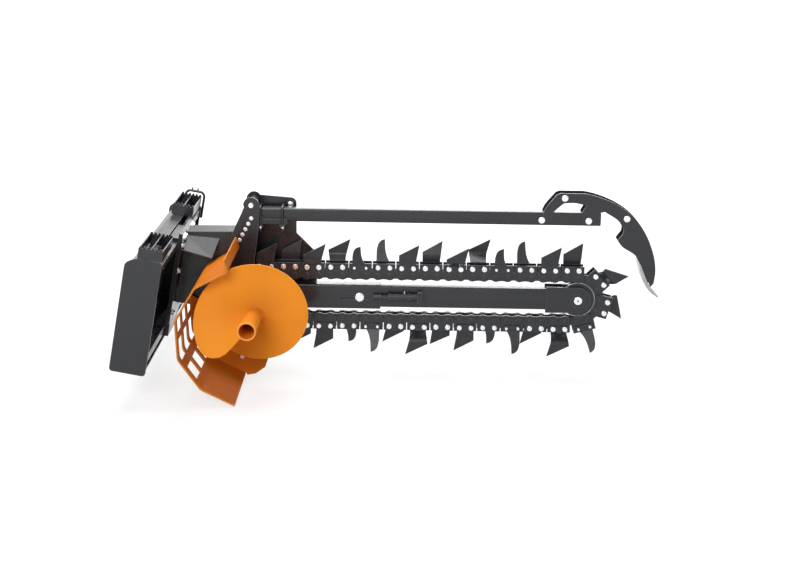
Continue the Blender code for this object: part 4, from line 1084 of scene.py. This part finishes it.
def side_bar_outline():
    """Straight outer edge that carries the tooth, inner edge scalloped round the two pins."""
    values = chain()
    low, out, over = values.bar_in, values.bar_out, values.bar_over
    points = [(-over, out), (-over, -0.005)]
    points += arc(0, 0, low, 222, 296, 6)
    points += [(PITCH * 0.36, 0.0035 - low), (PITCH * 0.5, 0.0045 - low), (PITCH * 0.64, 0.0035 - low)]
    points += arc(PITCH, 0, low, 244, 318, 6)
    points += [(PITCH + over, -0.005), (PITCH + over, out)]
    return points


def inner_plate_outline():
    """Round ends on the two pins with a waist between them."""
    r = chain().inner_round
    waist = r - 0.0045
    points = arc(0, 0, r, 62, 298, 14) + [(PITCH * 0.5, -waist)]
    points += arc(PITCH, 0, r, -118, 118, 14) + [(PITCH * 0.5, waist)]
    return points


def joined(*parts):
    """One bmesh from several."""
    whole = bmesh.new()
    for part in parts:
        carrier = bpy.data.meshes.new("carrier")
        part.to_mesh(carrier)
        part.free()
        whole.from_mesh(carrier)
        bpy.data.meshes.remove(carrier)
    return whole


def chain_links():
    """Outer links with their side bars and riveted pins, inner links with their barrels."""
    values = chain()
    far = values.bar_far
    half = values.inner_far - values.inner_thick
    bars = [plate(side_bar_outline(), side * far, side * (far - values.bar_thick)) for side in (-1, 1)]
    plates = [plate(inner_plate_outline(), side * values.inner_far, side * half) for side in (-1, 1)]
    pins = bmesh.new()
    barrels = bmesh.new()
    shoulder, end = far + 0.0004, far + 0.0012
    rivet = values.pin * 0.7
    for x in (0, PITCH):
        profile = [(-end, 0), (-end, rivet), (-shoulder, values.pin), (shoulder, values.pin), (end, rivet),
                   (end, 0)]
        lathe(pins, profile, facing((x, 0, 0), (0, 1, 0)), 20)
        lathe(barrels, straight(-half, half, values.barrel, values.pin), facing((x, 0, 0), (0, 1, 0)), 24)
    outer = mesh_of("outer_link", joined(*bars, pins))
    inner = mesh_of("inner_link", joined(*plates, barrels))
    for index in range(0, LOOP_PINS, 2):
        section = f"chain_section_{min(3, index * 3 // LOOP_PINS + 1):02d}"
        put_mesh(f"outer_link_{index:02d}", outer, "boom", CHAIN_STEEL, 0.0012, link_place(index), [section])
        put_mesh(f"inner_link_{index + 1:02d}", inner, "boom", CHAIN_STEEL, 0.0010, link_place(index + 1))


# Teeth: outline along the travel and outwards from the bolts, heights and angles of its bends, and the
# bolts' width across flats
TEETH = {
    "slant": {
        "outline": [(-0.037, -0.012), (0.039, -0.012), (0.036, 0.012), (0.038, 0.040), (0.049, 0.104),
                    (-0.038, 0.057)],
        "bends": [], "bolt": 0.0180},
    "slant_set": {
        "outline": [(-0.037, -0.012), (0.039, -0.012), (0.039, 0.022), (0.049, 0.104), (-0.038, 0.057)],
        "bends": [(0.046, 20.0)], "bolt": 0.0195},
    "large_set": {
        "outline": [(-0.037, -0.012), (0.039, -0.012), (0.036, 0.012), (0.038, 0.036), (0.056, 0.107),
                    (-0.040, 0.057), (-0.037, 0.036), (-0.033, 0.014)],
        "bends": [(0.014, 66.0), (0.042, -66.8)], "bolt": 0.0195},
    "finger": {
        "outline": [(-0.037, -0.012), (0.037, -0.012), (0.027, 0.006), (0.014, 0.028), (0.006, 0.052),
                    (0.003, 0.078), (0.002, 0.103), (-0.011, 0.099), (-0.024, 0.088), (-0.032, 0.066),
                    (-0.034, 0.022)],
        "bends": [(0.012, 25.0)], "bolt": 0.0180},
}
TOOTH_STYLES = ("slant", "slant_set", "large_set", "large_set", "finger", "finger")


def bend_offset(height, bends):
    """How far a bent tooth has moved sideways at a height."""
    moved = 0.0
    for at, degrees in bends:
        past = height - at
        slope = math.tan(math.radians(degrees))
        if past > TOOTH_BEND:
            moved += slope * past
        elif past > -TOOTH_BEND:
            moved += slope * (past + TOOTH_BEND) ** 2 / (4 * TOOTH_BEND)
    return moved


def tooth_mesh(style, side, set_share):
    """A tooth plate on one side of the chain, in its link's frame, bent outwards by a share of its set."""
    values = chain()
    spec = TEETH[style]
    outline = smoothed([Vector(point) for point in spec["outline"]], 34.0, 6.0)
    bm = plate(outline, TOOTH_FACE, TOOTH_FACE + values.tooth_thick)
    for at, _ in spec["bends"]:
        for step in FOLD_STEPS:
            bmesh.ops.bisect_plane(bm, geom=bm.verts[:] + bm.edges[:] + bm.faces[:],
                                   plane_co=(0, 0, at + step * TOOTH_BEND), plane_no=(0, 0, 1))
    for vert in bm.verts:
        x, y, z = vert.co
        y = side * (y + set_share * bend_offset(z, spec["bends"]))
        vert.co = (x + PITCH / 2, y, z + values.bolt_out)
    return mesh_of(f"tooth_{style}", bm)


def tooth_bolts(style, side):
    """Two bolts with heads on one side of the chain and nuts on the other."""
    values = chain()
    bm = bmesh.new()
    across = TEETH[style]["bolt"]
    if style == "finger" and side < 0:
        across = 0.0105
    washer = across * 0.57
    thread = across * 0.27
    face = TOOTH_FACE + values.tooth_thick
    back = values.bar_far
    for x in (0, PITCH):
        hexagon(bm, facing((x, side * face, values.bolt_out), (0, side, 0)), across, 0.0060, washer)
        hexagon(bm, facing((x, -side * back, values.bolt_out), (0, -side, 0)), across, 0.0070, washer,
                0.0025, thread)
    return mesh_of(f"tooth_bolts_{style}", bm)


def chain_teeth():
    """A tooth and its bolts on each outer link, with less set where the links pass the mast plates."""
    past_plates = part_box("mast_plate_far")[1].x - HEAD.x + 0.095
    tucked = 0.30
    teeth = {}
    bolts = {}
    for index in range(0, LOOP_PINS, 2):
        order = (STYLES_FIRST + (index - STYLES_START) % LOOP_PINS // 2) % len(TOOTH_STYLES)
        side = 1 if order % 2 else -1
        key = (TOOTH_STYLES[order], side, tucked if chain_pin(index).x < past_plates else 1.0)
        if key not in teeth:
            teeth[key] = tooth_mesh(*key)
            bolts[key] = tooth_bolts(*key[:2])
        place = link_place(index)
        put_mesh(f"tooth_{index:02d}_{key[0]}", teeth[key], "boom", CHAIN_STEEL, 0.0010, place)
        put_mesh(f"tooth_{index:02d}_bolts", bolts[key], "boom", ZINC, 0.0, place, sharp=FASTENER_SHARP)


# Boom ---------------------------------------------------------------------------------------------------

def boom():
    """Sleeve, sliding bar, take-up bolt and the chain tensioner."""
    for node in ("boom_sleeve", "boom_bar"):
        formed(node, edges().plate, 0.3)
    x, _, z = middle_of("slot_bolt")
    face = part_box("boom_sleeve")[1].y + 0.0005
    bm = bmesh.new()
    for side in (-1, 1):
        hexagon(bm, facing((x, side * face, z), (0, side, 0)), 0.0300, 0.0110, 0.0190)
    lathe(bm, straight(-face, face, 0.009), facing((x, 0, z), (0, 1, 0)), 32)
    put("slot_bolt_made", bm, "boom", ZINC, ["slot_bolt"], sharp=FASTENER_SHARP)
    tensioner()


def tensioner():
    """Greased cylinder on the boom and the threaded rod that the carriage holds."""
    low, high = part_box("tensioner_cylinder")
    middle = middle_of("tensioner_cylinder")
    middle.x = 0
    r = (high.z - low.z) / 2
    body = r - 0.003
    bore = 0.0098
    profile = [(low.x, bore), (low.x, r - 0.001), (low.x + 0.001, r), (low.x + 0.008, r),
               (low.x + 0.008, body), (high.x - 0.040, body), (high.x - 0.040, r), (high.x - 0.028, r),
               (high.x - 0.028, body), (high.x, body), (high.x, 0), (low.x + 0.060, 0), (low.x + 0.060, bore)]
    turned("tensioner_cylinder_made", profile, middle, (1, 0, 0), "boom", COAT, ["tensioner_cylinder"])
    formed("tensioner_anchor", edges().plate)
    start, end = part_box("tensioner_rod")
    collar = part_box("boom_sleeve")[1].x
    step = 0.0010
    threads = [(collar + 0.011 + step * k, 0.0090 if k % 2 else 0.0082)
               for k in range(int((end.x - collar - 0.012) / step))]
    profile = [(start.x, 0), (start.x, 0.0130), (collar + 0.0004, 0.0130), (collar + 0.0004, 0.0200),
               (collar + 0.0030, 0.0200), (collar + 0.0030, 0.0088), *threads, (end.x, 0.0080), (end.x, 0)]
    turned("tensioner_rod_made", profile, middle, (1, 0, 0), "carriage", COAT, ["tensioner_rod"], 32)
    nipple = bmesh.new()
    lathe(nipple, [(0, 0), (0, 0.0042), (0.004, 0.0042), (0.004, 0.0026), (0.009, 0.0026), (0.0105, 0.0034),
                   (0.0125, 0.0022), (0.0125, 0)],
          facing(middle + Vector((high.x - 0.055, 0, r - 0.0032)), (0, -0.5, 1)), 20)
    put("grease_nipple", nipple, "boom", ZINC, sharp=FASTENER_SHARP)


def nose():
    """Fork plates, idler and its axle."""
    for node in ("fork_plate_near", "fork_plate_far"):
        cut_plate(node, COAT, edges().plate)
    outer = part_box("fork_plate_far")[1].y + 0.0003
    boss = [(outer, 0.0139), (outer, 0.0330), (outer + 0.0022, 0.0330), (outer + 0.0032, 0.0320),
            (outer + 0.0032, 0.0139)]
    head = [(outer + 0.0032, 0), (outer + 0.0032, 0.0168), (outer + 0.0078, 0.0180), (outer + 0.0092, 0.0165),
            (outer + 0.0092, 0.0030), (outer + 0.0072, 0.0026), (outer + 0.0072, 0)]
    plug = [(outer + 0.007, 0), (outer + 0.007, 0.0046), (outer + 0.0096, 0.0040), (outer + 0.0096, 0)]
    for side, word in SIDES:
        turned(f"axle_boss_{word}", boss, NOSE, (0, side, 0), "boom", COAT, (), 56)
        turned(f"axle_head_{word}", head, NOSE, (0, side, 0), "boom", ZINC, (), 40)
        turned(f"axle_plug_{word}", plug, NOSE, (0, side, 0), "boom", COAT, (), 20)
    turned("idler_axle_made", straight(-outer, outer, 0.0139), NOSE, (0, 1, 0), "boom", ZINC,
           ["idler_axle"], 40)
    toothed_wheel(NOSE, "idler", "idler_wheel", [(-0.0254, 0.0254, 0.0300, 0.0146),
                                                 (-0.0200, -0.0105, 0.0732, 0.0290),
                                                 (0.0105, 0.0200, 0.0732, 0.0290)])
    treads = bmesh.new()
    for near, far in ((-0.0202, -0.0105), (0.0105, 0.0202)):
        lathe(treads, straight(near, far, 0.0752, 0.0722), facing(NOSE, (0, 1, 0)), 96)
    put("idler_treads", treads, "idler", BARE_STEEL, (), 0.0004)


# Crumber arm --------------------------------------------------------------------------------------------

def crumber():
    """Saddle with its U-bolts and the square bar that slides in it."""
    formed("crumber_saddle", edges().plate)
    formed("crumber_bar", edges().plate, 1.0)
    nuts = []
    straps = bmesh.new()
    plate_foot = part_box("crumber_saddle")[0].z
    for node in ("u_bolt_rear", "u_bolt_front"):
        low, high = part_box(node)
        r = (high.x - low.x) / 2
        x = (low.x + high.x) / 2
        leg = high.y - r
        top = high.z - r
        bend = 0.010
        path = [(x, -leg, low.z), (x, -leg, top - bend)]
        path += [(x, -leg + bend - bend * math.cos(a), top - bend + bend * math.sin(a))
                 for a in (math.radians(15 * k) for k in range(1, 7))]
        path += [(x, leg - bend + bend * math.sin(a), top - bend + bend * math.cos(a))
                 for a in (math.radians(15 * k) for k in range(0, 7))]
        path += [(x, leg, low.z)]
        put(f"{node}_made", tube(bmesh.new(), path, r, 20), "crumber_saddle", COAT, [node])
        nuts += [Vector((x, side * leg, low.z + 0.0135)) for side in (-1, 1)]
        boxed(straps, (low.x - 0.006, low.y - 0.004, nuts[0].z + 0.0085),
              (high.x + 0.006, high.y + 0.004, plate_foot))
    fasteners("u_bolt_nuts", nuts, (0, 0, 1), "crumber_saddle", 0.0125, 0.0060, 0.0076)
    put("u_bolt_straps", straps, "crumber_saddle", COAT, (), edges().sheet)


def shoe_outline(node):
    """The hooked plate's outline with its window opened down to the bar, which leaves two arms."""
    outline, window = side_loops(node)[:2]
    foot = min(point.y for point in window)
    middle = sum(point.x for point in window) / len(window)
    head = sorted((point for point in window if point.y > foot + 0.01), key=lambda point: point.x)
    opened = []
    for i, point in enumerate(outline):
        last = outline[i - 1]
        level = abs(last.y - point.y) < 1e-4 and 0 < foot - point.y < 0.02
        if level and min(last.x, point.x) < middle < max(last.x, point.x):
            opened += head if last.x < point.x else head[::-1]
        opened.append(point)
    return opened


def shoe():
    """Hooked side plates, their spacers and bolts, and the blade that scrapes the trench floor."""
    for node in ("shoe_plate_near", "shoe_plate_far"):
        low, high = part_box(node)
        outline = smoothed(shoe_outline(node), 30.0)
        put(f"{node}_made", plate(outline, low.y, high.y), body_of(node), COAT, [node], edges().plate)
    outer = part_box("shoe_plate_far")[1].y + 0.0002
    spots = [(-0.170, 0.352), (0.030, 0.351), (-0.075, 0.448), (0.192, 0.363)]
    for side, word in SIDES:
        places = [Vector((NOSE.x + x, side * outer, NOSE.z + z)) for x, z in spots]
        stub = 0.0 if side < 0 else 0.004
        fasteners(f"shoe_bolts_{word}", places, (0, side, 0), "crumber_arm", 0.0210, 0.0090, 0.0140, stub,
                  0.0058)
    for node in ("shoe_spacer_rear", "shoe_spacer_front"):
        low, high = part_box(node)
        centre = middle_of(node)
        centre.y = 0
        turned(f"{node}_made", straight(low.y, high.y, 0.012), centre, (0, 1, 0), "crumber_arm", COAT, [node])
    cut_plate("crumber_blade", BARE_STEEL, edges().sheet)


# Studio -------------------------------------------------------------------------------------------------

def background_share(tree):
    """1 for rays that should meet the plain background: camera, glossy and transmission rays."""
    path = tree.nodes.new("ShaderNodeLightPath")
    first = tree.nodes.new("ShaderNodeMath")
    second = tree.nodes.new("ShaderNodeMath")
    first.operation = second.operation = "MAXIMUM"
    tree.links.new(path.outputs["Is Camera Ray"], first.inputs[0])
    tree.links.new(path.outputs["Is Glossy Ray"], first.inputs[1])
    tree.links.new(first.outputs[0], second.inputs[0])
    tree.links.new(path.outputs["Is Transmission Ray"], second.inputs[1])
    return second.outputs[0]


def white_world(values):
    """White where a ray meets the background, and a soft even light on the object."""
    world = bpy.data.worlds.new("studio")
    bpy.context.scene.world = world
    world.use_nodes = True
    tree = world.node_tree
    tree.nodes.clear()
    ambient = tree.nodes.new("ShaderNodeBackground")
    ambient.inputs["Strength"].default_value = values.ambient
    shown = tree.nodes.new("ShaderNodeBackground")
    for shade in (ambient, shown):
        shade.inputs["Color"].default_value = (1, 1, 1, 1)
    mix = tree.nodes.new("ShaderNodeMixShader")
    out = tree.nodes.new("ShaderNodeOutputWorld")
    tree.links.new(background_share(tree), mix.inputs["Fac"])
    tree.links.new(ambient.outputs[0], mix.inputs[1])
    tree.links.new(shown.outputs[0], mix.inputs[2])
    tree.links.new(mix.outputs[0], out.inputs["Surface"])


def pale_floor(values):
    """A floor that takes a soft shadow near the object and fades into the white surroundings."""
    shown_grey = 0.36
    fade_start, fade_end = 1.4, 4.0
    glow_near, glow_far = 0.73, 1.1
    bm = bmesh.new()
    bmesh.ops.create_grid(bm, x_segments=1, y_segments=1, size=60.0)
    mesh = bpy.data.meshes.new("floor")
    bm.to_mesh(mesh)
    bm.free()
    floor = bpy.data.objects.new("floor", mesh)
    middle = (CAD_BOX[0] + CAD_BOX[1]) / 2
    floor.location = (middle.x, middle.y, CAD_BOX[0].z - 0.001)
    bpy.context.scene.collection.objects.link(floor)
    made = bpy.data.materials.new("floor_paint")
    made.use_nodes = True
    tree = made.node_tree
    tree.nodes.clear()
    paint = tree.nodes.new("ShaderNodeBsdfDiffuse")
    shown_paint = tree.nodes.new("ShaderNodeBsdfDiffuse")
    paint.inputs["Color"].default_value = (*values.floor, 1)
    shown_paint.inputs["Color"].default_value = (shown_grey, shown_grey, shown_grey, 1)
    glow = tree.nodes.new("ShaderNodeEmission")
    glow.inputs["Color"].default_value = (1, 1, 1, 1)
    spot = tree.nodes.new("ShaderNodeTexCoord")
    reach = tree.nodes.new("ShaderNodeVectorMath")
    reach.operation = "LENGTH"
    fade = tree.nodes.new("ShaderNodeMapRange")
    fade.inputs["From Min"].default_value = fade_start
    fade.inputs["From Max"].default_value = fade_end
    fade.inputs["To Min"].default_value = glow_near
    fade.inputs["To Max"].default_value = glow_far
    tree.links.new(spot.outputs["Object"], reach.inputs[0])
    tree.links.new(reach.outputs["Value"], fade.inputs["Value"])
    tree.links.new(fade.outputs["Result"], glow.inputs["Strength"])
    both = tree.nodes.new("ShaderNodeAddShader")
    mix = tree.nodes.new("ShaderNodeMixShader")
    out = tree.nodes.new("ShaderNodeOutputMaterial")
    tree.links.new(shown_paint.outputs[0], both.inputs[0])
    tree.links.new(glow.outputs[0], both.inputs[1])
    tree.links.new(background_share(tree), mix.inputs["Fac"])
    tree.links.new(paint.outputs[0], mix.inputs[1])
    tree.links.new(both.outputs[0], mix.inputs[2])
    tree.links.new(mix.outputs[0], out.inputs["Surface"])
    mesh.materials.append(made)


def soft_box(name, away, size, power):
    """A soft light at a distance from the object's middle, turned to face it."""
    aim = (CAD_BOX[0] + CAD_BOX[1]) / 2
    place = aim + Vector(away)
    light = bpy.data.lights.new(name, "AREA")
    light.shape = "RECTANGLE"
    light.size, light.size_y = size
    light.energy = power
    lamp = bpy.data.objects.new(name, light)
    lamp.location = place
    lamp.rotation_mode = "QUATERNION"
    lamp.rotation_quaternion = (aim - place).to_track_quat("-Z", "Y")
    bpy.context.scene.collection.objects.link(lamp)


def studio():
    values = bpy.context.scene.trencher_studio
    bpy.context.scene.view_settings.view_transform = "Standard"
    white_world(values)
    pale_floor(values)
    for name, away, size, power in (("overhead_box", (-0.8, 0.8, 3.6), (4.2, 3.2), values.key),
                                    ("front_box", (-1.8, -5.6, 2.6), (3.0, 2.4), values.front),
                                    ("back_box", (1.4, 5.0, 1.7), (5.5, 2.2), values.back)):
        soft_box(name, away, size, power)
    lens = bpy.data.cameras.new("camera")
    lens.lens = values.lens
    lens.sensor_width = 36.0
    camera = bpy.data.objects.new("camera", lens)
    camera.matrix_world = (Matrix.Translation(values.eye) @ Matrix.Rotation(math.pi / 2 - values.down, 4, "X")
                           @ Matrix.Rotation(values.roll, 4, "Z"))
    bpy.context.scene.collection.objects.link(camera)
    bpy.context.scene.camera = camera


# Operators ----------------------------------------------------------------------------------------------

class TRENCHER_OT_studio(bpy.types.Operator):
    """Camera, pale floor, white surroundings and soft lights"""
    bl_idname = "trencher.studio"
    bl_label = "Studio"

    def execute(self, context):
        studio()
        return {"FINISHED"}


class TRENCHER_OT_hitch(bpy.types.Operator):
    """Leaning coupler frame: cheeks, coupler plate, lock flange, rails, ribs and welds"""
    bl_idname = "trencher.hitch"
    bl_label = "Coupler frame"

    def execute(self, context):
        hitch_frame()
        return {"FINISHED"}


class TRENCHER_OT_steps(bpy.types.Operator):
    """Toothed treads on the frame's two ends, and the hose guide"""
    bl_idname = "trencher.steps"
    bl_label = "Treads and hose guide"

    def execute(self, context):
        tread("step_near_made", "step_near")
        tread("step_far_made", "step_far")
        guide()
        return {"FINISHED"}


class TRENCHER_OT_carriage(bpy.types.Operator):
    """Side-shift carriage with its clamps and bolts, and the pedestal"""
    bl_idname = "trencher.carriage"
    bl_label = "Carriage and pedestal"

    def execute(self, context):
        carriage()
        pedestal()
        return {"FINISHED"}


class TRENCHER_OT_mast(bpy.types.Operator):
    """Mast plates, crumber pivot and lock bolt"""
    bl_idname = "trencher.mast"
    bl_label = "Mast"

    def execute(self, context):
        mast()
        return {"FINISHED"}


class TRENCHER_OT_drive(bpy.types.Operator):
    """Hydraulic motor, shaft bearing, head shaft and sprocket"""
    bl_idname = "trencher.drive"
    bl_label = "Drive"

    def execute(self, context):
        drive()
        head_shaft()
        return {"FINISHED"}


class TRENCHER_OT_auger(bpy.types.Operator):
    """Spoil auger and the guard around it"""
    bl_idname = "trencher.auger"
    bl_label = "Auger and guard"

    def execute(self, context):
        auger()
        guard()
        return {"FINISHED"}


class TRENCHER_OT_boom(bpy.types.Operator):
    """Boom sleeve, bar, tensioner, fork, idler and axle"""
    bl_idname = "trencher.boom"
    bl_label = "Boom"

    def execute(self, context):
        boom()
        nose()
        return {"FINISHED"}


class TRENCHER_OT_chain(bpy.types.Operator):
    """Chain links and the bolted teeth"""
    bl_idname = "trencher.chain"
    bl_label = "Digging chain"

    def execute(self, context):
        chain_links()
        chain_teeth()
        return {"FINISHED"}


class TRENCHER_OT_crumber(bpy.types.Operator):
    """Crumber saddle, bar, shoe and blade"""
    bl_idname = "trencher.crumber"
    bl_label = "Crumber arm"

    def execute(self, context):
        crumber()
        shoe()
        return {"FINISHED"}


OPERATORS = (TRENCHER_OT_studio, TRENCHER_OT_hitch, TRENCHER_OT_steps, TRENCHER_OT_carriage, TRENCHER_OT_mast,
             TRENCHER_OT_drive, TRENCHER_OT_auger, TRENCHER_OT_boom, TRENCHER_OT_chain, TRENCHER_OT_crumber)


class TRENCHER_PT_pieces(bpy.types.Panel):
    """Makes each group of pieces and shows their settings"""
    bl_idname = "TRENCHER_PT_pieces"
    bl_label = "Chain trencher"
    bl_space_type = "VIEW_3D"
    bl_region_type = "UI"
    bl_category = "Trencher"

    def draw(self, context):
        for operator in OPERATORS:
            self.layout.operator(operator.bl_idname)
        for setting, group in SETTINGS.items():
            box = self.layout.box()
            box.label(text=setting.replace("_", " "))
            for value in group.__annotations__:
                box.prop(getattr(context.scene, setting), value)


def register():
    for group in SETTINGS.values():
        bpy.utils.register_class(group)
    for setting, group in SETTINGS.items():
        setattr(bpy.types.Scene, setting, PointerProperty(type=group))
    for operator in OPERATORS:
        bpy.utils.register_class(operator)
    bpy.utils.register_class(TRENCHER_PT_pieces)


def unregister():
    bpy.utils.unregister_class(TRENCHER_PT_pieces)
    for operator in reversed(OPERATORS):
        bpy.utils.unregister_class(operator)
    for setting in SETTINGS:
        delattr(bpy.types.Scene, setting)
    for group in reversed(SETTINGS.values()):
        bpy.utils.unregister_class(group)


def check_replaced():
    """Stop if a construction part has no finished piece standing for it."""
    replaced = {node for piece in bpy.data.objects for node in piece.get("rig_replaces", ())}
    bare = sorted(set(frame["nodes"]) - replaced)
    if bare:
        raise RuntimeError("no finished piece stands for " + ", ".join(bare))


def main():
    register()
    FINISH.update(make_finishes())
    bpy.ops.trencher.studio()
    bpy.ops.trencher.hitch()
    bpy.ops.trencher.steps()
    bpy.ops.trencher.carriage()
    bpy.ops.trencher.mast()
    bpy.ops.trencher.drive()
    bpy.ops.trencher.auger()
    bpy.ops.trencher.boom()
    bpy.ops.trencher.chain()
    bpy.ops.trencher.crumber()
    check_replaced()


if __name__ == "__main__":
    main()
